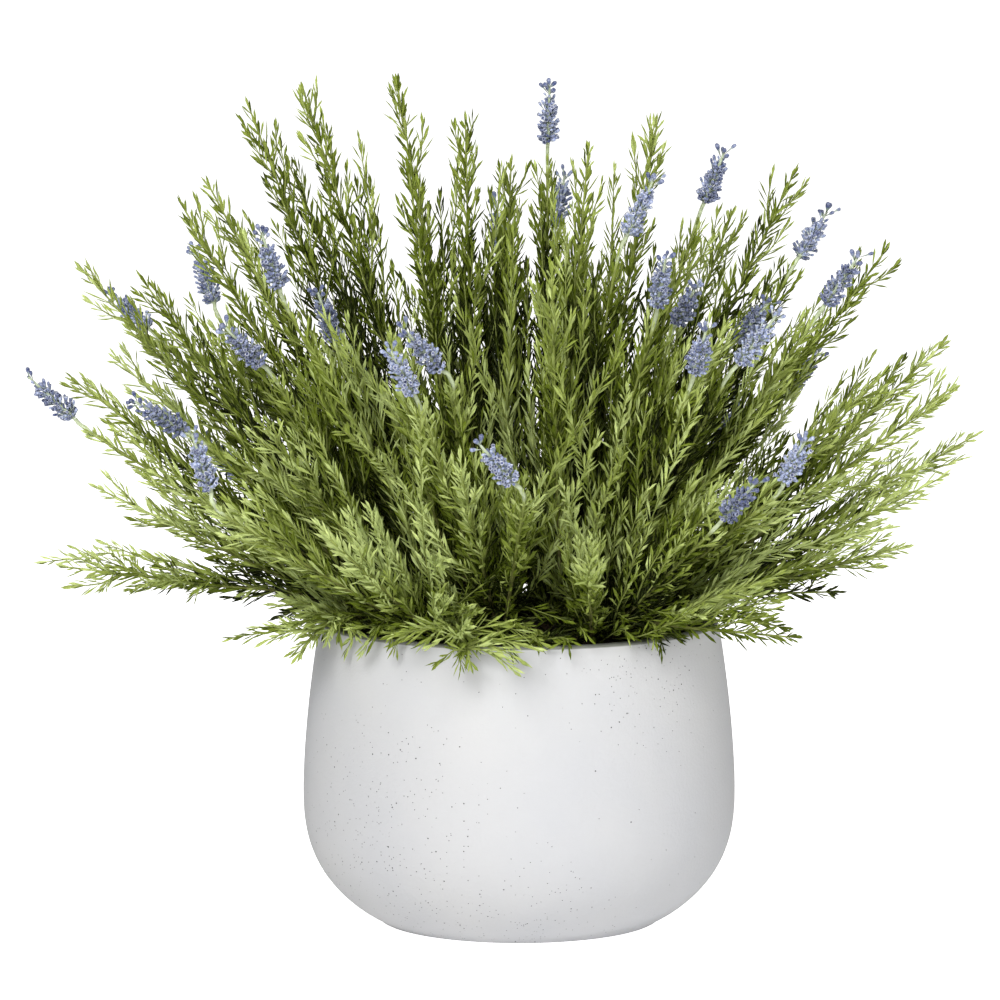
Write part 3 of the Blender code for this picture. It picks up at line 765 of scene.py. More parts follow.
STEM_LEAVES = Foliage(
    blade=WIDE_BLADE,
    spacing=7.5,
    turn=90,
    fan=((0, 1), (26, 0.64), (-24, 0.7)),
    length=18,
    width=2.2,
    spread=28,
    tip_share=0.62,
)
SHOOT_LEAVES = Foliage(
    blade=SLIM_BLADE,
    spacing=4.6,
    turn=30,
    fan=((0, 1),),
    length=14.5,
    width=2.0,
    spread=25,
    tip_share=0.72,
)


@dataclass(frozen=True)
class Scatter:
    """How unevenly the leaves of a branch stand: the usual departure of each one, in millimetres,
    degrees or shares, or the range that it is drawn from."""

    place: float = 0.6
    turn: float = 12
    spread: float = 5.5
    spreads: Range = (2, 70)
    end_spread: Range = (0, 8)
    aside: float = 5
    roll: float = 25
    length: Range = (0.75, 1.15)
    width: Range = (0.8, 1.15)
    bend: Range = (0.02, 0.08)
    tip_stretch: float = 26
    tip_closing: float = 0.28


@dataclass(frozen=True)
class PaintedLeafLight:
    """Painted light and shade on the leaves, as a tone by where a leaf's tip stands: painted shade inside
    the bush, by the rim, at its low outer ends, at its top and furthest out, and painted light on the low
    front. Distances from the middle are from the thicket's middle."""

    palest: float = 0.85
    shaded_from: Range = (215, 290)
    shaded: Range = (0.88, 0.42)
    # Painted light lifts the leaves a little above the rim; painted shade darkens those at the rim and at
    # the top.
    heights: tuple[float, ...] = (190, 212, 236, 270, 360, 430, 480)
    lift: tuple[float, ...] = (-0.28, -0.05, 0.18, 0.11, -0.06, -0.15, -0.20)
    outermost: Range = (235, 300)
    outer_painted_shade: float = 0.14
    low_heights: Range = (215, 265)
    low_painted_shade: Range = (0.2, 0.36)
    low_from: float = 120
    low_over: float = 60

    def of(self, tips: np.ndarray, thicket: Thicket) -> np.ndarray:
        """The painted light and shade of each leaf, as a tone.

        Args:
            tips: where the leaves' tips are, one a row.
            thicket: the stems around them.

        Returns:
            One number for each leaf, higher for a paler one.
        """
        away = np.linalg.norm(tips - thicket.middle, axis=1)
        tone = self.palest - np.interp(away, self.shaded_from, self.shaded) * thicket.shade(tips)
        tone += np.interp(tips[:, 2], self.heights, self.lift)
        tone -= np.interp(away, self.outermost, (0, self.outer_painted_shade))
        # Painted shade on the lowest sprays out at the sides, stronger on the right.
        left, right = self.low_painted_shade
        low_down = np.interp(tips[:, 2], self.low_heights, (1, 0)) * np.where(tips[:, 0] > 0, right, left)
        return tone - low_down * np.clip((abs(tips[:, 0]) - self.low_from) / self.low_over, 0, 1)


@dataclass
class LeafyBranch:
    """One branch: a woody crown, the stems that grow from it, their side shoots and leaves. A
    leaving lean or spread is a shoot's own at its start, and a later one is from its middle on."""

    number: int
    stems: list[Stem]
    crown: np.ndarray
    pot: StonePot
    thicket: Thicket
    seed: int = 400
    crown_radius: float = 3.2
    crown_bottom: float = 130
    crown_above_soil: float = 8
    crown_knobs: Range = (0.9, 0.1)
    crown_wave: float = 0.9
    crown_step: float = 4
    crown_rounding: float = 5
    crown_top: float = 0.6
    crown_sides: int = 8
    wood_tone: float = 0.02
    base_above_soil: float = 4
    stem_radius: float = 1.5
    stem_tip_radius: float = 0.55
    flowering_radius: float = 0.9
    stalk_radius: float = 1.3
    stalk_length: float = 15
    stem_sides: int = 6
    stem_step: float = 12
    stem_tones: Range = (0.12, 0.42)
    stem_shift: float = 0.09
    shoot_radius: float = 0.7
    shoot_taper: float = 0.6
    shoot_sides: int = 4
    shoot_step: float = 12
    shoot_tone: float = 0.5
    shoot_shift: float = 0.13
    shoot_bend: float = 0.45
    shoot_scatter: float = 1.8
    shoot_over: float = 6
    shoot_bare: float = 3.5
    shoot_end: float = 0.3
    shoot_spacing: float = 8
    shoots_from: float = 0.12
    shoots_to: float = 14
    shoot_length: float = 28
    shoot_lengths: Range = (0.72, 1.12)
    shoot_spread: float = 22
    shoot_spreads: Range = (0.75, 1.35)
    shoot_reach: float = 0.8
    shoot_rise: float = 0.15
    tip_stretch: float = 90
    tip_shoots: float = 0.75
    tip_spread: float = 1.4
    tip_end: float = 20
    tip_fan_stretch: float = 50
    tip_fan_loss: float = 0.45
    long_shoots: int = 8
    long_shoots_to: float = 0.62
    long_shoot_length: float = 86
    gap_tries: int = 5
    low_shoots: int = 8
    low_tries: int = 20
    low_turn: float = 48
    low_leaving: Range = (28, 58)
    low_later: Range = (45, 75)
    low_later_turn: float = 20
    low_droop: float = 40
    outermost_crown: float = 95
    low_length: float = 66
    low_lengths: Range = (0.65, 1.2)
    rim_from: float = 52
    rim_fan: float = 44
    rim_shoots: int = 5
    rim_turn: float = 4
    rim_aside: float = 30
    rim_over: Range = (-3, 5)
    rim_above: Range = (4, 15)
    rim_hanging: Range = (75, 145)
    rim_length: Range = (5, 19)
    inner_shoots: int = 4
    inner_painted_shade: float = -0.12
    inner_turn: float = 35
    inner_aside: float = 12
    inner_leaving: Range = (0.2, 0.7)
    inner_later: Range = (0.5, 1.0)
    inner_length: Range = (110, 230)
    core_lean: float = 20
    core_shoots: int = 7
    core_tries: int = 16
    core_leaving: Range = (0, 14)
    core_later: Range = (0, 8)
    core_length: Range = (150, 250)
    sparse_from: float = 180
    sparse_over: float = 90
    sparse_share: float = 0.3
    spill_lean: float = 79
    spill_shoots: int = 12
    spill_places: Range = (0.35, 0.9)
    spill_turn: Range = (25, 75)
    spill_leaving: Range = (62, 92)
    spill_later: Range = (80, 118)
    spill_length: Range = (28, 52)
    leaves_from: float = 0.08
    last_pair: float = 2
    scatter: Scatter = Scatter()
    painted_leaf_light: PaintedLeafLight = PaintedLeafLight()
    tone_spread: float = 0.12
    branch_shift: float = 0.06
    pot_room: float = 1.5
    shoot_room: float = 2.5
    box_room: float = 2
    clear_from: float = 100
    clear_height: float = 201

    @property
    def base(self) -> np.ndarray:
        """Where the shoots leave the crown, a little above the soil."""
        top = self.pot.soil_top(np.linalg.norm(self.crown)) + self.base_above_soil
        return np.array((*self.crown, top))

    @property
    def lean(self) -> float:
        """How far the stems lean on average."""
        return sum(stem.lean for stem in self.stems) / len(self.stems)

    def pick(self, span: Range) -> float:
        """A random number within a range."""
        return self.draw.uniform(*span)

    def build(self, leaf: LeafFinish, stem: StemFinish) -> bpy.types.Object:
        """Make the branch.

        Args:
            leaf: the finish of the leaves.
            stem: the finish of the stems.

        Returns:
            The branch's object.
        """
        self.draw = np.random.default_rng(self.seed + self.number)
        self.parts = MeshParts()
        self.branch_tone = self.draw.normal(0, self.branch_shift)
        self.add_crown()
        for grown in self.stems:
            self.add_stem(grown)
        self.add_low_shoots()
        self.add_rim_shoots()
        # Inner and core shoots get darker leaves: painted shade deep in the bush.
        self.shift = self.inner_painted_shade
        self.add_into_gaps(self.inner_shoots, self.gap_tries, self.inner_shoot)
        if self.lean <= self.core_lean:
            self.add_into_gaps(self.core_shoots, self.core_tries, self.core_shoot)
        made = self.parts.make(
            f"lavender_branch_{self.number:02d}", [stem.material(), leaf.material()], {0}
        )
        return place(made, Slot.LEAVES, f"leafy_branch_{self.number:02d}")

    def add_crown(self) -> None:
        """The short woody crown in the soil, a little knobbly."""
        top = self.pot.soil_top(np.linalg.norm(self.crown)) + self.crown_above_soil
        middle = (self.crown_bottom + top) / 2
        heights = (self.crown_bottom, middle, top - self.crown_rounding, top)
        line = Line(np.array([(*self.crown, height) for height in heights]), self.crown_step)
        plain, knob = self.crown_knobs
        radii = self.crown_radius * (plain + knob * np.sin(line.distance * self.crown_wave))
        radii[-1] *= self.crown_top
        points, triangles = line.tube(radii, self.crown_sides)
        self.parts.add(points, triangles, 0, tone=self.wood_tone)

    def add_stem(self, stem: Stem) -> None:
        """A stem with its side shoots, leaves and, if it flowers, its bare pale stalk."""
        self.shift = self.draw.normal(0, self.stem_shift)
        line = Line(stem.curve, self.stem_step)
        share = line.distance / line.length
        radii = self.stem_radius + (self.stem_tip_radius - self.stem_radius) * share
        oldest, younger = self.stem_tones
        age = oldest + younger * share
        leafy_end = line.length - 1
        if stem.flowering:
            leafy_end = line.length - self.stalk_length
            bare = line.distance > leafy_end - 2
            radii = np.where(bare, self.stalk_radius, np.maximum(radii, self.flowering_radius))
            age = np.where(bare, 1, age)
        points, triangles = line.tube(radii, self.stem_sides)
        ages = np.append(np.repeat(age, self.stem_sides), age[[0, -1]])
        self.parts.add(points, triangles, 0, tone=ages)
        self.add_leaves(line, self.leaves_from * line.length, leafy_end, STEM_LEAVES, 0)
        outside = np.clip((abs(stem.end[0]) - self.sparse_from) / self.sparse_over, 0, 1)
        fullness = 1 - self.sparse_share * outside
        low, high = self.shoots_from * line.length, leafy_end - self.shoots_to
        places = np.arange(low, high, self.shoot_spacing / fullness)
        places = places + self.draw.normal(0, self.shoot_scatter, len(places))
        kept = np.interp(leafy_end - places, (self.shoots_to, self.tip_stretch), (self.tip_shoots, 1))
        places = places[self.draw.random(len(places)) < kept]
        self.add_shoots(line, places, leafy_end, self.shoot_length)
        count = round(self.long_shoots * fullness)
        places = line.length * np.linspace(self.leaves_from, self.long_shoots_to, count)
        self.add_shoots(line, places, leafy_end, self.long_shoot_length * fullness, self.gap_tries)
        if stem.lean > self.spill_lean:
            self.add_spill(line)

    def add_spill(self, line: Line) -> None:
        """Shoots to both sides of a stem that spills over the rim.

        Args:
            line: the stem's line.
        """
        places = line.length * self.draw.uniform(*self.spill_places, self.spill_shoots)
        starts, directions, _ = line.at(places)
        for start, direction in zip(starts, directions):
            turn = azimuth_of(direction) + self.draw.choice((-1, 1)) * self.pick(self.spill_turn)
            leaving = leaning(self.pick(self.spill_leaving), turn)
            later = leaning(self.pick(self.spill_later), turn)
            self.add_shoot(self.bent(start, leaving, later, self.pick(self.spill_length)))

    def add_shoots(
        self, line: Line, places: np.ndarray, leafy_end: float, longest: float, tries: int = 1
    ) -> None:
        """Side shoots up a stem, shorter towards its tip.

        Args:
            line: the stem's line.
            places: how far along it each one starts.
            leafy_end: how far along it the leaves go.
            longest: the length of the longest ones.
            tries: how many ways to turn each one are tried, of which the one into the widest
                gap between the stems is kept.
        """
        starts, directions, across = line.at(places)
        turn = self.draw.random() * 360
        for count, (start, direction, side) in enumerate(zip(starts, directions, across)):
            left = leafy_end + self.shoot_over - places[count]
            length = min(longest * self.pick(self.shoot_lengths), left * self.shoot_reach)
            spread = math.radians(self.shoot_spread * self.pick(self.shoot_spreads))
            spread *= np.interp(left, (self.tip_end, self.tip_stretch), (self.tip_spread, 1))
            choices = []
            for _ in range(tries):
                turn += GOLDEN_ANGLE
                outward = side * math.cos(math.radians(turn))
                outward = outward + np.cross(direction, side) * math.sin(math.radians(turn))
                leaving = direction * math.cos(spread) + outward * math.sin(spread)
                later = unit(leaving + direction + np.array((0, 0, self.shoot_rise)))
                choices.append(self.bent(start, leaving, later, length))
            gaps = self.thicket.distance(np.array(choices)[:, -1])
            self.add_shoot(choices[int(np.argmax(gaps))])

    def add_low_shoots(self) -> None:
        """Short shoots that spread from the crown, over the soil and the rim near it."""
        self.shift = 0
        steepest, lowest = self.low_later
        droop = self.low_droop * np.linalg.norm(self.crown) / self.outermost_crown
        grown = 0
        for _ in range(self.low_tries):
            azimuth = azimuth_of(self.crown) + self.draw.normal(0, self.low_turn)
            leaving = leaning(self.pick(self.low_leaving), azimuth)
            later_lean = self.pick((steepest, lowest + droop))
            later = leaning(later_lean, azimuth + self.draw.normal(0, self.low_later_turn))
            length = self.low_length * self.pick(self.low_lengths)
            if grown < self.low_shoots:
                grown += self.add_shoot(self.bent(self.base, leaving, later, length))

    def add_rim_shoots(self) -> None:
        """Shoots from an outer crown that lie on the rim and hang a little way outside it."""
        if np.linalg.norm(self.crown) < self.rim_from:
            return
        for turn in np.linspace(-self.rim_fan, self.rim_fan, self.rim_shoots):
            azimuth = azimuth_of(self.crown) + turn + self.draw.normal(0, self.rim_turn)
            over = self.pot.radius(self.pot.height) + self.pick(self.rim_over)
            edge = leaning(90, azimuth) * over + (0, 0, self.pot.height + self.pick(self.rim_above))
            hanging_lean = self.pick(self.rim_hanging)
            hanging = leaning(hanging_lean, azimuth + self.draw.normal(0, self.rim_aside))
            self.add_shoot(np.array([self.base, edge, edge + hanging * self.pick(self.rim_length)]))

    def inner_shoot(self) -> np.ndarray:
        """The nodes of a long shoot that leans about as the stems do."""
        azimuth = azimuth_of(self.crown) + self.draw.normal(0, self.inner_turn)
        leaving = leaning(self.lean * self.pick(self.inner_leaving), azimuth)
        later_lean = self.lean * self.pick(self.inner_later)
        later = leaning(later_lean, azimuth + self.draw.normal(0, self.inner_aside))
        return self.bent(self.base, leaving, later, self.pick(self.inner_length))

    def core_shoot(self) -> np.ndarray:
        """The nodes of a long shoot that goes almost straight up."""
        azimuth = self.draw.uniform(0, 360)
        leaving = leaning(self.pick(self.core_leaving), azimuth)
        later = leaning(self.pick(self.core_later), azimuth)
        return self.bent(self.base, leaving, later, self.pick(self.core_length))

    def add_into_gaps(self, shoots: int, tries: int, grow: Callable[[], np.ndarray]) -> None:
        """Add shoots from the crown, up through the widest gaps between the stems.

        Args:
            shoots: how many to add.
            tries: how many are tried for each, of which the one furthest from the stems is kept.
            grow: what gives the nodes of one.
        """
        for _ in range(shoots):
            choices = [grow() for _ in range(tries)]
            places = np.array(choices)[:, 1:]
            gaps = self.thicket.distance(places.reshape(-1, 3)).reshape(places.shape[:2])
            self.add_shoot(choices[int(np.argmax(gaps.min(axis=1)))])

    def bent(
        self, start: np.ndarray, leaving: np.ndarray, later: np.ndarray, length: float
    ) -> np.ndarray:
        """The nodes of a side shoot.

        Args:
            start: where it starts.
            leaving: the way it goes at first.
            later: the way it goes from its middle on.
            length: its length.

        Returns:
            Three places along it.
        """
        middle = start + leaving * length * self.shoot_bend
        return np.array([start, middle, middle + later * length * (1 - self.shoot_bend)])

    def add_shoot(self, nodes: np.ndarray) -> bool:
        """One side shoot with its leaves, unless it would run into the pot or hang over the clear
        right end of the rim.

        Args:
            nodes: the places that it goes through.

        Returns:
            Whether it was added.
        """
        shoot = Line(nodes, self.shoot_step)
        beyond = shoot.points[shoot.distance > self.shoot_step]
        if self.pot.is_hit(beyond, self.shoot_room).any():
            return False
        if not inside_box(shoot.points, self.box_room).all():
            return False
        if nodes[-1][0] > self.clear_from and nodes[-1][2] < self.clear_height:
            return False
        radii = self.shoot_radius * (1 - self.shoot_taper * shoot.distance / shoot.length)
        points, triangles = shoot.tube(radii, self.shoot_sides)
        self.parts.add(points, triangles, 0, tone=self.shoot_tone)
        shift = self.draw.normal(0, self.shoot_shift)
        end = shoot.length - self.shoot_end
        self.add_leaves(shoot, self.shoot_bare, end, SHOOT_LEAVES, shift)
        return True

    def add_leaves(self, line: Line, start: float, end: float, foliage: Foliage, shift: float) -> None:
        """Pairs of leaf fans along a line, and one leaf that goes on from its end.

        Args:
            line: the stem or side shoot.
            start: how far along it the first pair stands.
            end: how far along it the last pair stands.
            foliage: how the leaves stand.
            shift: how much paler than others the leaves are.
        """
        uneven = self.scatter
        stops = np.arange(end - self.last_pair, start, -foliage.spacing)
        leaves = np.array(foliage.fan)
        each = 2 * len(leaves)
        places = np.append(np.repeat(stops, each), end)
        count = len(places)
        pair = np.append(np.repeat(np.arange(len(stops)), each), 0)
        half = np.append(np.tile(np.repeat((0, 180), len(leaves)), len(stops)), 0)
        aside, share = np.append(np.tile(leaves, (2 * len(stops), 1)), [(0, 1)], axis=0).T
        root, along, across = line.at(places + self.draw.normal(0, uneven.place, count))
        turn = np.radians(pair * foliage.turn + half + self.draw.normal(0, uneven.turn, count))
        outward = across * np.cos(turn)[:, None] + np.cross(along, across) * np.sin(turn)[:, None]
        from_tip = np.clip((end - places) / uneven.tip_stretch, 0, 1)
        spread = foliage.spread * (1 - uneven.tip_closing * (1 - from_tip))
        spread = spread + self.draw.normal(0, uneven.spread, count)
        spread[-1] = self.pick(uneven.end_spread)
        spread = np.radians(np.clip(spread, *uneven.spreads))[:, None]
        ahead = along * np.cos(spread) + outward * np.sin(spread)
        upper = along * np.sin(spread) - outward * np.cos(spread)
        aside = np.radians(aside + self.draw.normal(0, uneven.aside, count))[:, None]
        direction = ahead * np.cos(aside) + np.cross(upper, ahead) * np.sin(aside)
        roll = np.radians(self.draw.normal(0, uneven.roll, count))[:, None]
        upper = upper * np.cos(roll) + np.cross(direction, upper) * np.sin(roll)
        size = share * (foliage.tip_share + (1 - foliage.tip_share) * from_tip)
        length = foliage.length * size * self.draw.uniform(*uneven.length, count)
        width = foliage.width * np.sqrt(size) * self.draw.uniform(*uneven.width, count)
        bend = self.draw.normal(*uneven.bend, count)
        blades = foliage.blade.blades(root, direction, upper, length, width, bend)
        tips = root + direction * length[:, None]
        keep = ~self.pot.is_hit(tips, self.pot_room) & ~self.pot.is_hit((root + tips) / 2, self.pot_room)
        keep &= inside_box(blades).all(axis=1)
        near_tip = 1 - np.clip((end - places) / self.tip_fan_stretch, 0, 1)
        keep &= (share == 1) | (self.draw.random(count) > self.tip_fan_loss * near_tip)
        # Painted light and shade by the leaf's place, plus random tone for the leaf, its shoot, stem and
        # branch.
        tone = self.painted_leaf_light.of(tips, self.thicket) + shift + self.shift + self.branch_tone
        tone += self.draw.normal(0, self.tone_spread, count)
        blade = foliage.blade
        values = {"tone": tone[keep][:, None], "reach": blade.along, "edge": blade.edge}
        self.parts.add_copies(blades[keep], blade.faces, 1, **values)


def inside_box(points: np.ndarray, room: float = 0.2) -> np.ndarray:
    """Whether each point, in millimetres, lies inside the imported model's box with room to spare."""
    low, high = (np.array(corner) / MM for corner in CAD_BOX)
    return ((points > low + room) & (points < high - room)).all(axis=-1)


@dataclass
class Thicket:
    """The stems of the bush taken together, to tell how deep and how crowded a place is."""

    stems: list[Stem]
    middle: Place = (0, 0, 150)
    step: float = 16
    least_beyond: float = 14
    beside: float = 26
    full: float = 8

    @cached_property
    def points(self) -> np.ndarray:
        """Places along every stem."""
        return np.vstack([Line(stem.curve, self.step).points for stem in self.stems])

    def squares(self, places: np.ndarray) -> np.ndarray:
        """The squared distance from each place, in rows, to each point of the stems."""
        square = (self.points**2).sum(axis=1)[None] + (places**2).sum(axis=1)[:, None]
        return square - 2 * places @ self.points.T

    def distance(self, places: np.ndarray) -> np.ndarray:
        """How far each place is from the nearest stem, in millimetres."""
        return np.sqrt(np.clip(self.squares(places).min(axis=1), 0, None))

    def shade(self, places: np.ndarray) -> np.ndarray:
        """From 0 on the outside to 1 where many stems stand further out; the leaves' painted shade follows
        it.

        Args:
            places: places in millimetres, one a row.

        Returns:
            One share for each place.
        """
        outward = unit(places - self.middle)
        along = outward @ self.points.T - (outward * places).sum(axis=1)[:, None]
        beyond = (along > self.least_beyond) & (self.squares(places) - along**2 < self.beside**2)
        return np.clip(beyond.sum(axis=1) / self.full, 0, 1)


# How pale each flower head is: 0 for deep blue, 1 for almost white.
HEAD_PALENESS = (
    0.30, 0.35, 0.25, 0.60, 0.35, 0.50, 0.30, 0.30, 0.95, 0.60, 0.85, 0.40, 0.30, 0.70, 0.35,
    0.50, 0.35, 0.65, 0.90, 0.20, 0.35, 0.45, 0.95, 0.00, 0.20, 0.50, 0.40, 0.30, 0.45, 0.35,
)


@dataclass
class FlowerHead:
    """One flower head: a stalk's end with whorls of bell-shaped buds, a neck and a top cluster."""

    number: int
    stem: Stem
    seed: int = 900
    length: float = 42
    radius: float = 7.9
    body_share: float = 0.57
    whorls: int = 8
    buds_in_whorl: int = 7
    bud_layers: tuple[Range, ...] = ((1, 0), (0.62, 0.5))
    neck_share: float = 0.74
    neck_buds: int = 2
    neck_angle: float = 40
    neck_reach: float = 3.2
    neck_size: float = 0.75
    neck_shift: float = 0.2
    top_shares: Range = (0.82, 0.90)
    top_share: float = 0.88
    top_buds: int = 5
    top_turn: float = 12
    top_angle: float = 42
    top_reach: float = 5.6
    top_size: float = 0.95
    top_shift: float = -0.35
    tip_angle: float = 8
    tip_reach: float = 1.0
    tone_spread: float = 0.33
    bud_sides: int = 5
    bell_length: float = 4.5
    rachis_radius: float = 1.3
    rachis_taper: float = 0.45
    rachis_step: float = 8
    rachis_sides: int = 6
    rachis_tone: float = 0.5
    rachis_reach: float = 0.05
    touch_gap: float = 0.3
    open_share: float = 0.42
    top_plump: float = 1.45
    narrowing: float = 0.34
    foot_fullness: Range = (0.72, 1.6)
    bud_angles: Range = (60, 24)
    bud_turn: float = 10
    bud_height: float = 0.8
    bud_angle: float = 6
    bud_sizes: Range = (0.78, 1.15)
    bud_reaches: Range = (0.75, 1.15)
    longest_bud: float = 13
    shortest_stalk: float = 0.8
    lowest_base: float = 0.6
    base_share: float = 0.35
    open_tones: tuple[float, ...] = (0.2, 0.5, 0.9, 0.98, 1)
    shut_tones: tuple[float, ...] = (0.2, 0.5, 0.8, 0.72, 0.68)
    open_bell: tuple[Range, ...] = ((0, 0.36), (0.45, 0.82), (0.94, 1.28), (0.84, 0.75), (0.6, 0))
    shut_bell: tuple[Range, ...] = ((0, 0.36), (0.40, 0.88), (0.78, 1.02), (0.98, 0.6), (1.06, 0))
    lobe_ring: int = 2
    lobe_depth: float = 0.13

    def build(self, finish: PetalFinish) -> bpy.types.Object:
        """Make the head.

        Args:
            finish: what its buds look like.

        Returns:
            The head's object.
        """
        self.draw = np.random.default_rng(self.seed + self.number)
        self.parts = MeshParts()
        self.axis = self.stem.pointing
        self.foot = self.stem.curve[-1] + self.axis * self.touch_gap
        self.side = unit(np.cross(self.axis, (0.2, 1, 0.1)))
        self.head_tone = HEAD_PALENESS[self.number - 1]
        self.add_rachis()
        self.add_body()
        self.add_top()
        made = self.parts.make(f"lavender_flower_{self.number:02d}", [finish.material()], {0})
        return place(made, Slot.FLOWERS, f"flower_head_{self.number:02d}")

    def envelope(self, share: np.ndarray) -> np.ndarray:
        """How far the buds reach from the axis at a share of the body's height."""
        lowest, rise = self.foot_fullness
        return self.radius * (1 - self.narrowing * share) * np.minimum(1, lowest + rise * share)

    def add_rachis(self) -> None:
        """The stalk inside the head, up to the top cluster."""
        heights = self.length * np.array((0, 0.5, self.top_share))
        line = Line(self.foot + self.axis * heights[:, None], self.rachis_step)
        radii = self.rachis_radius * (1 - self.rachis_taper * line.distance / line.length)
        points, triangles = line.tube(radii, self.rachis_sides)
        self.parts.add(points, triangles, 0, tone=self.rachis_tone, reach=self.rachis_reach)

    def add_body(self) -> None:
        """Whorls of buds up the body: long outer ones, and short ones that fill between them."""
        rows = []
        lowest, rise = self.bud_angles
        for whorl in range(self.whorls):
            share = whorl / (self.whorls - 1)
            angle = lowest - rise * share
            for layer, (reach, lift) in enumerate(self.bud_layers):
                turns = (np.arange(self.buds_in_whorl) + 0.5 * (whorl + layer)) / self.buds_in_whorl
                for turn in turns * 360 + self.draw.normal(0, self.bud_turn, len(turns)):
                    height = (share + lift / self.whorls) * self.body_share * self.length
                    rows.append((height, turn, angle, self.envelope(share) * reach))
        self.add_buds(np.array(rows), 1, self.open_share, 0)

    def add_top(self) -> None:
        """A few small buds on the neck and larger ones on stalks of their own at the top."""
        neck_height = self.length * self.neck_share
        turns = self.draw.random(self.neck_buds) * 360
        neck = [(neck_height, turn, self.neck_angle, self.neck_reach) for turn in turns]
        self.add_buds(np.array(neck), self.neck_size, 0, self.neck_shift)
        turns = np.arange(self.top_buds) * 360 / self.top_buds
        top = []
        for count, turn in enumerate(turns + self.draw.normal(0, self.top_turn, self.top_buds)):
            height = self.length * self.top_shares[count % 2]
            top.append((height, turn, self.top_angle, self.top_reach))
        top.append((self.length * self.top_share, 0, self.tip_angle, self.tip_reach))
        self.add_buds(np.array(top), self.top_size, 0, self.top_shift, self.top_plump)

    def add_buds(
        self, rows: np.ndarray, size: float, open_share: float, shift: float, plump: float = 1
    ) -> None:
        """Add buds.

        Args:
            rows: for each bud its height, its turn round the axis, its angle from the axis and
                how far from the axis its tip reaches.
            size: how large the bells are, as a share.
            open_share: the share of them that are open.
            shift: how much paler than the rest of the head they are.
            plump: how wide the bells are for their length.
        """
        count = len(rows)
        height = rows[:, 0] + self.draw.normal(0, self.bud_height, count)
        turn = np.radians(rows[:, 1])
        angle = rows[:, 2] + self.draw.normal(0, self.bud_angle, count)
        angle = np.radians(np.maximum(angle, self.bud_angle))
        sizes = size * self.draw.uniform(*self.bud_sizes, count)
        bell = self.bell_length * sizes
        total = np.minimum(rows[:, 3] / np.sin(angle), self.longest_bud)
        total *= self.draw.uniform(*self.bud_reaches, count)
        stalk = np.maximum(total - bell, self.shortest_stalk)
        other = np.cross(self.axis, self.side)
        outward = self.side * np.cos(turn)[:, None] + other * np.sin(turn)[:, None]
        direction = self.axis * np.cos(angle)[:, None] + outward * np.sin(angle)[:, None]
        across = unit(np.cross(direction, self.axis + outward * 0.01))
        up = np.cross(direction, across)
        base_height = np.maximum(height - np.cos(angle) * total * self.base_share, self.lowest_base)
        base = self.foot + self.axis * base_height[:, None]
        spin = self.draw.random(count) * math.tau
        sides = np.arange(self.bud_sides) / self.bud_sides * math.tau
        is_open = self.draw.random(count) < open_share
        bells = np.where(is_open[:, None, None], self.open_bell, self.shut_bell)
        turns = spin[:, None] + sides
        flat = across[:, None] * np.cos(turns)[..., None] + up[:, None] * np.sin(turns)[..., None]
        lobes = 1 + self.lobe_depth * np.cos(2 * sides) * is_open[:, None]
        rings = []
        for ring in range(len(self.open_tones) - 1):
            along, radius = bells[:, ring].T
            middle = base + direction * (stalk + along * bell)[:, None]
            reach = (radius * sizes * plump)[:, None] * (lobes if ring == self.lobe_ring else 1)
            rings.append(middle[:, None] + flat * np.broadcast_to(reach, turns.shape)[..., None])
        deep = base + direction * (stalk + bells[:, -1, 0] * bell)[:, None]
        points = np.concatenate([*rings, base[:, None], deep[:, None]], axis=1)
        bloom = np.where(is_open[:, None], self.open_tones, self.shut_tones)
        bloom = np.repeat(bloom, [self.bud_sides] * len(rings) + [1], axis=1)
        bloom = np.insert(bloom, -1, 0, axis=1)
        tone = np.clip(self.head_tone + shift + self.draw.normal(0, self.tone_spread, count), 0, 1)
        keep = inside_box(points).all(axis=1)
        triangles = skin(len(rings), self.bud_sides)
        self.parts.add_copies(points[keep], triangles, tone=tone[keep][:, None], reach=bloom[keep])


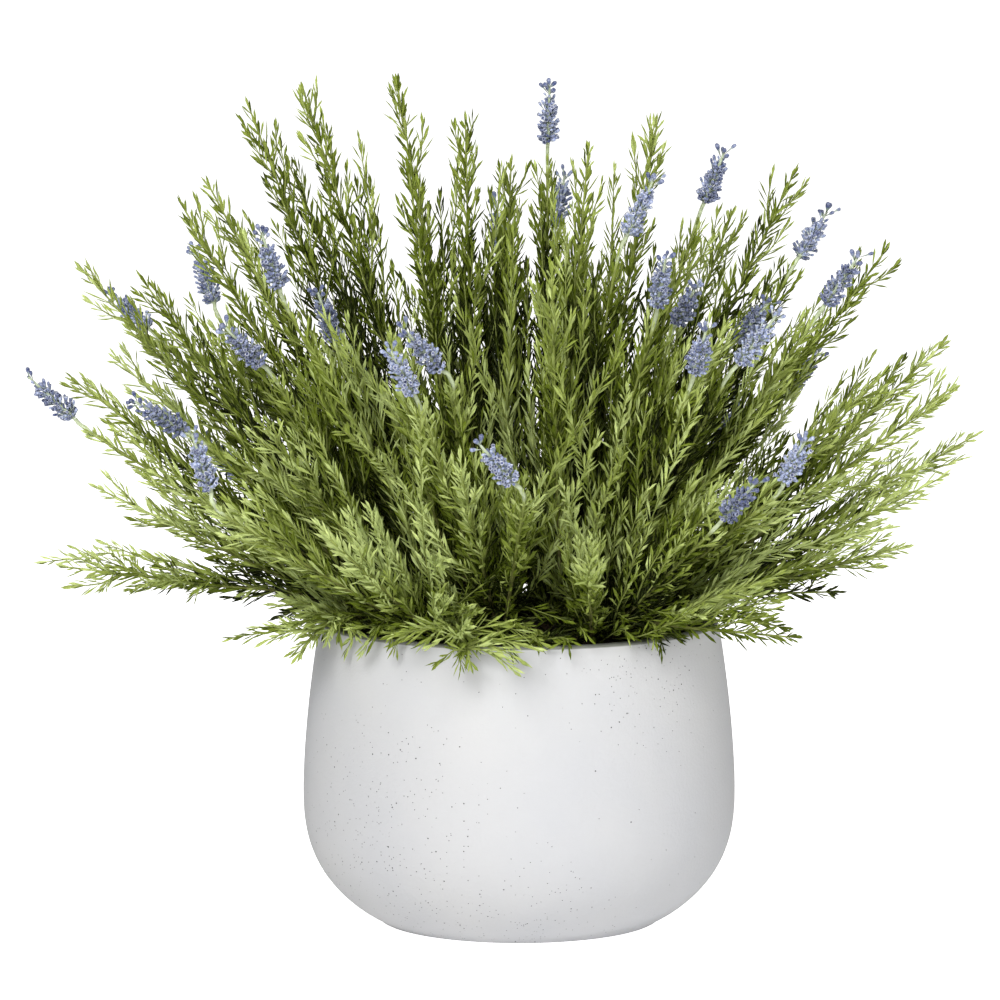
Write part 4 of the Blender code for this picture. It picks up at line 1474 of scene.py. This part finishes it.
@dataclass
class PottingSoil:
    """The soil: a low mound with a crumbly surface and loose crumbs on it."""

    pot: StonePot
    seed: int = 77
    side_gap: float = 0.5
    bottom: float = 14.3
    sides: int = 96
    side_rings: int = 8
    rings: int = 34
    inmost_ring: float = 0.8
    roughness: float = 1.6
    tone: float = 0.4
    crumbs: int = 900
    crumb_edge: float = 4
    crumb_height: float = 0.3
    crumb_sizes: Range = (0.9, 3.2)
    crumb_corners: Range = (0.55, 1.2)

    def build(self, finish: SoilFinish) -> bpy.types.Object:
        """Make the soil.

        Args:
            finish: what it is made of.

        Returns:
            The soil's object.
        """
        draw = np.random.default_rng(self.seed)
        parts = MeshParts()
        heights = np.linspace(self.bottom, self.pot.soil_edge, self.side_rings)
        side = [(self.pot.radius(up) - self.pot.wall - self.side_gap, up) for up in heights]
        edge = side[-1][0]
        radii = np.linspace(edge, self.inmost_ring, self.rings)[1:]
        top = [(radius, self.pot.soil_top(radius)) for radius in radii]
        profile = np.array(side + top)
        rings = turned(profile, self.sides)
        rings[len(side) :, :, 2] += draw.normal(0, self.roughness / 2, (len(top), self.sides))
        points = np.vstack([rings.reshape(-1, 3), (0, 0, self.bottom), (0, 0, self.pot.soil_middle)])
        parts.add(points, skin(len(profile), self.sides), tone=self.tone)
        self.add_crumbs(parts, draw, edge - self.crumb_edge)
        made = parts.make("potting_soil", [finish.material()], set())
        return place(made, Slot.SOIL, "soil")

    def add_crumbs(self, parts: MeshParts, draw: np.random.Generator, reach: float) -> None:
        """Scatter crumbs over the surface.

        Args:
            parts: the mesh that they join.
            draw: the source of their places and sizes.
            reach: how far from the axis they lie.
        """
        corners = np.array(((1, 0, 0), (0, 1, 0), (-1, 0, 0), (0, -1, 0), (0, 0, 1), (0, 0, -1)), float)
        upper = [(side, (side + 1) % 4, 4) for side in range(4)]
        faces = np.array(upper + [((side + 1) % 4, side, 5) for side in range(4)])
        distances = reach * np.sqrt(draw.random(self.crumbs))
        for radius, turn in zip(distances, draw.random(self.crumbs) * math.tau):
            size = draw.uniform(*self.crumb_sizes)
            shape = corners * draw.uniform(*self.crumb_corners, (6, 1)) * size
            up = self.pot.soil_top(radius) + self.crumb_height * size
            middle = (radius * math.cos(turn), radius * math.sin(turn), up)
            parts.add(shape + middle, faces, tone=draw.random())


class Sheet:
    """A short way to add and join the nodes of one material or node group."""

    def __init__(self, tree: bpy.types.NodeTree) -> None:
        """Work on this tree."""
        self.tree = tree

    def add(self, kind: str, settings: dict | None = None, **inputs: object) -> bpy.types.Node:
        """Add a node.

        Args:
            kind: its type's name.
            settings: the node's own properties.
            **inputs: its inputs by name, with _ for a space: a value, or a socket to join.

        Returns:
            The node.
        """
        node = self.tree.nodes.new(kind)
        for name, value in (settings or {}).items():
            setattr(node, name, value)
        for name, value in inputs.items():
            self.join(value, node.inputs[name.replace("_", " ")])
        return node

    def join(self, value: object, socket: bpy.types.NodeSocket) -> None:
        """Set a socket to a value, or join it to another socket."""
        if isinstance(value, bpy.types.NodeSocket):
            self.tree.links.new(value, socket)
        else:
            socket.default_value = value

    def value(self, name: str) -> bpy.types.NodeSocket:
        """One of the values that a mesh holds at its vertices."""
        node = self.add("ShaderNodeAttribute", {"attribute_name": name})
        return node.outputs["Fac"]

    def where(self) -> bpy.types.NodeSocket:
        """The place on the object, in metres."""
        return self.add("ShaderNodeTexCoord").outputs["Object"]

    def math(self, operation: str, *values: object, clamp: bool = True) -> bpy.types.NodeSocket:
        """A sum of one to three values, kept from 0 to 1 unless clamp is off."""
        node = self.add("ShaderNodeMath", {"operation": operation, "use_clamp": clamp})
        for socket, value in zip(node.inputs, values):
            self.join(value, socket)
        return node.outputs[0]

    def noise(self, scale: object, detail: float = 3, rough: float = 0.55) -> bpy.types.NodeSocket:
        """Noise over the object's own space."""
        inputs = {"Vector": self.where(), "Scale": scale, "Detail": detail, "Roughness": rough}
        return self.add("ShaderNodeTexNoise", **inputs).outputs["Fac"]

    def mix(
        self, share: object, first: object, second: object, blend: str = "MIX"
    ) -> bpy.types.NodeSocket:
        """Two colours mixed by a share."""
        node = self.add("ShaderNodeMix", {"data_type": "RGBA", "blend_type": blend})
        for index, value in ((0, share), (6, first), (7, second)):
            self.join((*value, 1) if isinstance(value, tuple) else value, node.inputs[index])
        return node.outputs[2]

    def ramp(self, share: object, *stops: tuple[float, Colour]) -> bpy.types.NodeSocket:
        """A colour read from stops along a scale."""
        node = self.add("ShaderNodeValToRGB", Fac=share)
        elements = node.color_ramp.elements
        while len(elements) < len(stops):
            elements.new(1)
        for element, (position, colour) in zip(elements, stops):
            element.position = position
            element.color = (*colour, 1)
        return node.outputs["Color"]


class Effect(Enum):
    """The effects that several finishes share, as node groups."""

    MOTTLE = "Mottle"
    GRAIN = "Grain"

    def tree(self) -> bpy.types.NodeTree:
        """The effect's node group, which is built once."""
        return bpy.data.node_groups.get(self.value) or getattr(self, f"build_{self.name.lower()}")()

    def empty(self, inputs: dict[str, str], outputs: dict[str, str]) -> tuple[Sheet, dict, bpy.types.Node]:
        """A node group with its sockets.

        Args:
            inputs: the type of each input by its name.
            outputs: the type of each output by its name.

        Returns:
            The sheet to work on, the inputs by name, and the output node.
        """
        tree = bpy.data.node_groups.new(self.value, "ShaderNodeTree")
        for name, kind in inputs.items():
            tree.interface.new_socket(name, in_out="INPUT", socket_type=kind)
        for name, kind in outputs.items():
            tree.interface.new_socket(name, in_out="OUTPUT", socket_type=kind)
        sheet = Sheet(tree)
        return sheet, sheet.add("NodeGroupInput").outputs, sheet.add("NodeGroupOutput")

    def build_mottle(self) -> bpy.types.NodeTree:
        """A colour that drifts between two in soft patches, with the patches as a mask."""
        colour, number = "NodeSocketColor", "NodeSocketFloat"
        inputs = {"First": colour, "Second": colour, "Scale": number, "Contrast": number}
        sheet, given, out = self.empty(inputs, {"Color": colour, "Mask": number})
        away = sheet.math("SUBTRACT", sheet.noise(given["Scale"]), 0.5, clamp=False)
        mask = sheet.math("MULTIPLY_ADD", away, given["Contrast"], 0.5)
        sheet.join(sheet.mix(mask, given["First"], given["Second"]), out.inputs["Color"])
        sheet.join(mask, out.inputs["Mask"])
        return sheet.tree

    def build_grain(self) -> bpy.types.NodeTree:
        """A fine uneven surface, as a normal."""
        sizes = {"Scale": "NodeSocketFloat", "Depth": "NodeSocketFloat"}
        sheet, given, out = self.empty(sizes, {"Normal": "NodeSocketVector"})
        height = sheet.noise(given["Scale"], 4)
        bump = sheet.add("ShaderNodeBump", Height=height, Distance=given["Depth"])
        sheet.join(bump.outputs["Normal"], out.inputs["Normal"])
        return sheet.tree


def effect(sheet: Sheet, kind: Effect, **inputs: object) -> bpy.types.Node:
    """Place an effect in a material with its own values."""
    return sheet.add("ShaderNodeGroup", {"node_tree": kind.tree()}, **inputs)


@dataclass(frozen=True)
class Finish:
    """A material that is made once and then shared.

    Attributes:
        name: the material's name.
        tints: the two colours that its soft patches drift between.
        patches: how many patches there are to a metre.
        contrast: how sharply they change.
        rough: its roughness in the patches of each tint.
        grain: how many grains there are to a metre.
        grain_depth: how deep the grain is, in metres.
        specular: how much it shines.
    """

    name: str = "Finish"
    tints: tuple[Colour, Colour] = ((1, 1, 1), (1, 1, 1))
    patches: float = 200
    contrast: float = 3
    rough: Range = (0.6, 0.8)
    grain: float = 800
    grain_depth: float = 0.0003
    specular: float = 0.5

    def material(self) -> bpy.types.Material:
        """The material, made the first time that it is asked for."""
        made = bpy.data.materials.get(self.name)
        if made:
            return made
        made = bpy.data.materials.new(self.name)
        made.use_nodes = True
        self.paint(Sheet(made.node_tree), made.node_tree.nodes["Principled BSDF"])
        return made

    def paint(self, sheet: Sheet, shader: bpy.types.Node) -> None:
        """Join this finish's nodes to the shader."""
        raise NotImplementedError

    def mottle(self, sheet: Sheet) -> tuple[bpy.types.NodeSocket, bpy.types.NodeSocket]:
        """The colour of the soft patches, and the patches as a mask."""
        first, second = ((*tint, 1) for tint in self.tints)
        sizes = {"Scale": self.patches, "Contrast": self.contrast}
        node = effect(sheet, Effect.MOTTLE, First=first, Second=second, **sizes)
        return node.outputs["Color"], node.outputs["Mask"]

    def surface(
        self,
        sheet: Sheet,
        shader: bpy.types.Node,
        colour: bpy.types.NodeSocket,
        mask: bpy.types.NodeSocket,
    ) -> bpy.types.NodeSocket:
        """Join a colour, the roughness and the grain to the shader.

        Args:
            sheet: the material's sheet.
            shader: its shader.
            colour: the base colour.
            mask: what the roughness follows.

        Returns:
            The grain's normal.
        """
        low, high = self.rough
        sheet.join(colour, shader.inputs["Base Color"])
        sheet.join(sheet.ramp(mask, (0, (low,) * 3), (1, (high,) * 3)), shader.inputs["Roughness"])
        grain = effect(sheet, Effect.GRAIN, Scale=self.grain, Depth=self.grain_depth)
        sheet.join(grain.outputs["Normal"], shader.inputs["Normal"])
        shader.inputs["Specular IOR Level"].default_value = self.specular
        return grain.outputs["Normal"]


@dataclass(frozen=True)
class StoneFinish(Finish):
    """Matte white cast stone: faint clouds, tiny pits in clusters darkened with painted shade, and a grey
    unpainted inside and rim top, darkened with painted shade and tinted green with painted reflection of
    the leaves.
    """

    name: str = "White cast stone"
    tints: tuple[Colour, Colour] = ((0.555, 0.552, 0.552), (0.505, 0.510, 0.530))
    patches: float = 9
    contrast: float = 2
    rough: Range = (0.62, 0.78)
    grain: float = 420
    grain_depth: float = 0.00025
    specular: float = 0.35
    # Unpainted grey stone inside and on the rim's top, made darker with painted shade and tinted green
    # with painted reflection of the leaves.
    inside: Colour = (0.22, 0.225, 0.20)
    # Pits are painted almost black: painted shade in the small hollows.
    pit: Colour = (0.06, 0.06, 0.065)
    pit_depth: float = 0.0008
    pit_sizes: tuple[tuple[float, float, float], ...] = ((430, 0.19, 0.996), (800, 0.24, 0.991))
    pitted: tuple[tuple[float, float, float, float], ...] = (
        (-0.080, 0.095, 0.060, 0.095),
        (-0.005, 0.088, 0.012, 0.075),
        (0.070, 0.100, 0.178, 0.070),
    )
    pits_crowded: float = 0.42
    crowds: float = 45

    def paint(self, sheet: Sheet, shader: bpy.types.Node) -> None:
        """Clouds, pits with their painted shade, and the grey inside with its painted shade and
        reflection.
        """
        clouds, mask = self.mottle(sheet)
        crowding = self.crowding(sheet)
        pits = 0.0
        for scale, size, threshold in self.pit_sizes:
            cells = sheet.add("ShaderNodeTexVoronoi", Vector=sheet.where(), Scale=scale)
            near = sheet.math("LESS_THAN", cells.outputs["Distance"], size)
            chance = sheet.add("ShaderNodeSeparateColor", Color=cells.outputs["Color"]).outputs["Red"]
            chance = sheet.math("ADD", chance, crowding, clamp=False)
            these = sheet.math("MULTIPLY", near, sheet.math("GREATER_THAN", chance, threshold))
            pits = sheet.math("MAXIMUM", these, pits)
        # Painted shade in the pits, then the inside's grey with its painted shade and reflection where the
        # edge value says inside.
        colour = sheet.mix(sheet.value("edge"), sheet.mix(pits, clouds, self.pit), self.inside)
        normal = self.surface(sheet, shader, colour, mask)
        shape = {"Height": pits, "Distance": self.pit_depth, "Normal": normal}
        hollow = sheet.add("ShaderNodeBump", {"invert": True}, **shape)
        sheet.join(hollow.outputs["Normal"], shader.inputs["Normal"])

    def crowding(self, sheet: Sheet) -> bpy.types.NodeSocket:
        """How much likelier a pit is at each place, the same in front and behind."""
        axes = sheet.add("ShaderNodeSeparateXYZ", Vector=sheet.where()).outputs
        behind = sheet.math("ABSOLUTE", axes["Y"], clamp=False)
        folded = sheet.add("ShaderNodeCombineXYZ", X=axes["X"], Y=behind, Z=axes["Z"])
        found = 0.0
        for *centre, radius in self.pitted:
            away = sheet.add("ShaderNodeVectorMath", {"operation": "DISTANCE"})
            sheet.join(folded.outputs["Vector"], away.inputs[0])
            away.inputs[1].default_value = centre
            inside = sheet.math("MULTIPLY_ADD", away.outputs["Value"], -1 / radius, 1.0)
            found = sheet.math("MAXIMUM", inside, found)
        uneven = sheet.math("MULTIPLY", found, sheet.math("POWER", sheet.noise(self.crowds), 2.0))
        return sheet.math("MULTIPLY", uneven, self.pits_crowded)


@dataclass(frozen=True)
class LeafFinish(Finish):
    """Matte green leaf: from near black through olive to yellow-green by its tone, which holds painted
    light and shade as well as random tone, with a paler midrib.
    """

    name: str = "Lavender leaf"
    tints: tuple[Colour, Colour] = ((0.82, 0.84, 0.80), (1.12, 1.10, 1.06))
    patches: float = 160
    rough: Range = (0.48, 0.66)
    grain: float = 900
    grain_depth: float = 0.0002
    specular: float = 0.12
    rib: Colour = (0.42, 0.47, 0.18)
    rib_edges: Range = (0.06, 0.24)
    rib_share: float = 0.35
    brown: Colour = (0.24, 0.17, 0.06)
    brown_from: float = 0.9
    brown_rise: float = 8
    brown_share: float = 0.5
    # The lowest stops are painted shade deep in the bush and the highest painted light on the outer
    # leaves.
    greens_and_painted_light: tuple[tuple[float, Colour], ...] = (
        (0.0, (0.012, 0.019, 0.001)),
        (0.2, (0.056, 0.080, 0.002)),
        (0.4, (0.146, 0.194, 0.016)),
        (0.65, (0.325, 0.395, 0.088)),
        (0.95, (0.545, 0.635, 0.250)),
    )

    def paint(self, sheet: Sheet, shader: bpy.types.Node) -> None:
        """Tone with its painted light and shade, midrib, browned tips and fine mottling."""
        tints, mask = self.mottle(sheet)
        colour = sheet.mix(1.0, sheet.ramp(sheet.value("tone"), *self.greens_and_painted_light), tints, "MULTIPLY")
        middle, side = self.rib_edges
        rib = sheet.ramp(sheet.value("edge"), (middle, (1,) * 3), (side, (0,) * 3))
        colour = sheet.mix(sheet.math("MULTIPLY", rib, self.rib_share), colour, self.rib)
        rise = self.brown_rise
        tip = sheet.math("MULTIPLY_ADD", sheet.value("reach"), rise, -rise * self.brown_from)
        colour = sheet.mix(sheet.math("MULTIPLY", tip, self.brown_share), colour, self.brown)
        self.surface(sheet, shader, colour, mask)


@dataclass(frozen=True)
class StemFinish(Finish):
    """Stems: brown wood at the crown, green above, pale mint on a flower's bare stalk."""

    name: str = "Lavender stem"
    tints: tuple[Colour, Colour] = ((0.75, 0.75, 0.72), (1.12, 1.12, 1.10))
    patches: float = 220
    grain: float = 700
    grain_depth: float = 0.0004
    specular: float = 0.2
    ages: tuple[tuple[float, Colour], ...] = (
        (0.0, (0.085, 0.055, 0.030)),
        (0.2, (0.130, 0.115, 0.045)),
        (0.4, (0.230, 0.270, 0.060)),
        (0.7, (0.340, 0.400, 0.120)),
        (0.95, (0.540, 0.610, 0.400)),
    )

    def paint(self, sheet: Sheet, shader: bpy.types.Node) -> None:
        """Colour by age, with bark mottling and fine grain."""
        tints, mask = self.mottle(sheet)
        colour = sheet.mix(1.0, sheet.ramp(sheet.value("tone"), *self.ages), tints, "MULTIPLY")
        self.surface(sheet, shader, colour, mask)


@dataclass(frozen=True)
class PetalFinish(Finish):
    """Buds: pale green foot, periwinkle bell, frosted white rim and a deep blue mouth."""

    name: str = "Lavender petal"
    patches: float = 620
    contrast: float = 9
    rough: Range = (0.6, 0.85)
    grain: float = 1400
    specular: float = 0.25
    sheen: float = 0.3
    frost: Colour = (0.68, 0.71, 0.80)
    frosted: float = 0.15
    deep: tuple[tuple[float, Colour], ...] = (
        (0.0, (0.30, 0.38, 0.17)),
        (0.22, (0.22, 0.29, 0.22)),
        (0.45, (0.074, 0.102, 0.220)),
        (0.70, (0.028, 0.041, 0.145)),
        (0.90, (0.22, 0.262, 0.39)),
        (0.98, (0.02, 0.025, 0.08)),
    )
    pale: tuple[tuple[float, Colour], ...] = (
        (0.0, (0.58, 0.64, 0.42)),
        (0.22, (0.60, 0.66, 0.55)),
        (0.45, (0.46, 0.53, 0.64)),
        (0.70, (0.27, 0.33, 0.57)),
        (0.90, (0.88, 0.90, 0.95)),
        (0.98, (0.09, 0.11, 0.24)),
    )

    def paint(self, sheet: Sheet, shader: bpy.types.Node) -> None:
        """Colour along the bud, deeper or paler by its tone, with frost in speckles."""
        along = sheet.value("reach")
        deep, pale = sheet.ramp(along, *self.deep), sheet.ramp(along, *self.pale)
        colour = sheet.mix(sheet.value("tone"), deep, pale)
        mask = self.mottle(sheet)[1]
        colour = sheet.mix(sheet.math("MULTIPLY", mask, self.frosted), colour, self.frost)
        self.surface(sheet, shader, colour, mask)
        shader.inputs["Sheen Weight"].default_value = self.sheen


@dataclass(frozen=True)
class SoilFinish(Finish):
    """Dark crumbly potting soil."""

    name: str = "Potting soil"
    tints: tuple[Colour, Colour] = ((0.016, 0.011, 0.007), (0.060, 0.042, 0.028))
    patches: float = 300
    contrast: float = 4
    rough: Range = (0.85, 1.0)
    grain_depth: float = 0.001
    crumb: Colour = (0.10, 0.075, 0.05)
    crumb_share: float = 0.4

    def paint(self, sheet: Sheet, shader: bpy.types.Node) -> None:
        """Dark earth with paler crumbs and a rough grain."""
        earth, mask = self.mottle(sheet)
        crumb = sheet.math("MULTIPLY", sheet.value("tone"), self.crumb_share)
        self.surface(sheet, shader, sheet.mix(crumb, earth, self.crumb), mask)


@dataclass(frozen=True)
class FloorFinish(Finish):
    """The plain pale floor."""

    name: str = "Pale floor"
    colour: Colour = (0.86, 0.86, 0.86)
    matt: float = 0.9
    seen_glow: float = 0.85
    glow: float = 0.25

    def paint(self, sheet: Sheet, shader: bpy.types.Node) -> None:
        """Almost white, with a glow that is stronger to the camera, so that it stays white far off."""
        shader.inputs["Base Color"].default_value = (*self.colour, 1)
        shader.inputs["Roughness"].default_value = self.matt
        shader.inputs["Emission Color"].default_value = (1, 1, 1, 1)
        seen = sheet.add("ShaderNodeLightPath").outputs["Is Camera Ray"]
        glow = sheet.math("MULTIPLY_ADD", seen, self.seen_glow, self.glow, clamp=False)
        sheet.join(glow, shader.inputs["Emission Strength"])


@dataclass(frozen=True)
class Lamp:
    """A soft white square lamp: where it stands, its size in metres and its power in watts."""

    name: str
    at: Place
    size: float
    power: float

    def build(self, target: Vector) -> None:
        """Hang the lamp and turn it to the target."""
        data = bpy.data.lights.new(self.name, "AREA")
        data.size = self.size
        data.energy = self.power
        lamp = bpy.data.objects.new(self.name, data)
        lamp.location = self.at
        lamp.rotation_euler = (target - Vector(self.at)).to_track_quat("-Z", "Y").to_euler()
        bpy.context.scene.collection.objects.link(lamp)


@dataclass
class Studio:
    """The camera at the picture's viewing angle, a pale floor and soft light."""

    camera_at: Place = (-0.0115, -3.6, 0.69)
    aimed_at: Place = (-0.0115, 0, 0.254)
    lens: float = 217.7
    sensor: float = 36
    far: float = 200
    floor_size: float = 80
    sky: float = 0.13
    lamps: tuple[Lamp, ...] = (
        Lamp("Key light", (-0.95, -2.8, 1.95), 1.7, 116),
        Lamp("Fill light", (2.4, -2.0, 0.8), 1.4, 36),
        Lamp("Back light", (0.5, 2.2, 2.2), 1.6, 12),
    )

    def build(self) -> None:
        """Set up the camera, lamps, sky and floor."""
        target = Vector(self.aimed_at)
        data = bpy.data.cameras.new("Camera")
        data.lens = self.lens
        data.sensor_width = self.sensor
        data.clip_end = self.far
        camera = bpy.data.objects.new("Camera", data)
        camera.location = self.camera_at
        camera.rotation_euler = (target - camera.location).to_track_quat("-Z", "Y").to_euler()
        bpy.context.scene.collection.objects.link(camera)
        bpy.context.scene.camera = camera
        for lamp in self.lamps:
            lamp.build(target)
        world = bpy.data.worlds.new("Soft sky")
        world.use_nodes = True
        sheet = Sheet(world.node_tree)
        seen = sheet.add("ShaderNodeLightPath").outputs["Is Camera Ray"]
        back = world.node_tree.nodes["Background"]
        back.inputs["Color"].default_value = (1, 1, 1, 1)
        strength = sheet.math("MULTIPLY_ADD", seen, 1 - self.sky, self.sky, clamp=False)
        sheet.join(strength, back.inputs["Strength"])
        bpy.context.scene.world = world
        half = self.floor_size / 2
        mesh = bpy.data.meshes.new("floor")
        corners = [(-half, -half, 0), (half, -half, 0), (half, half, 0), (-half, half, 0)]
        mesh.from_pydata(corners, [], [(0, 1, 2, 3)])
        mesh.materials.append(FloorFinish().material())
        floor = bpy.data.objects.new("floor", mesh)
        bpy.context.scene.collection.objects.link(floor)
        bpy.context.scene.view_settings.view_transform = "Standard"


def main() -> None:
    """Build the pot, soil, branches and flower heads, then the studio around them."""
    logging.basicConfig(level=logging.INFO, format="%(name)s %(message)s")
    Studio().build()
    pot = StonePot()
    layout = BushLayout(pot)
    layout.build()
    pot.build(StoneFinish())
    PottingSoil(pot).build(SoilFinish())
    thicket = Thicket(layout.stems)
    for number, (stems, crown) in enumerate(zip(layout.branches, layout.crowns), start=1):
        LeafyBranch(number, stems, crown, pot, thicket).build(LeafFinish(), StemFinish())
    flowers = [stem for stem in layout.stems if stem.flowering]
    for number, stem in enumerate(flowers, start=1):
        FlowerHead(number, stem).build(PetalFinish())


if __name__ == "__main__":
    main()
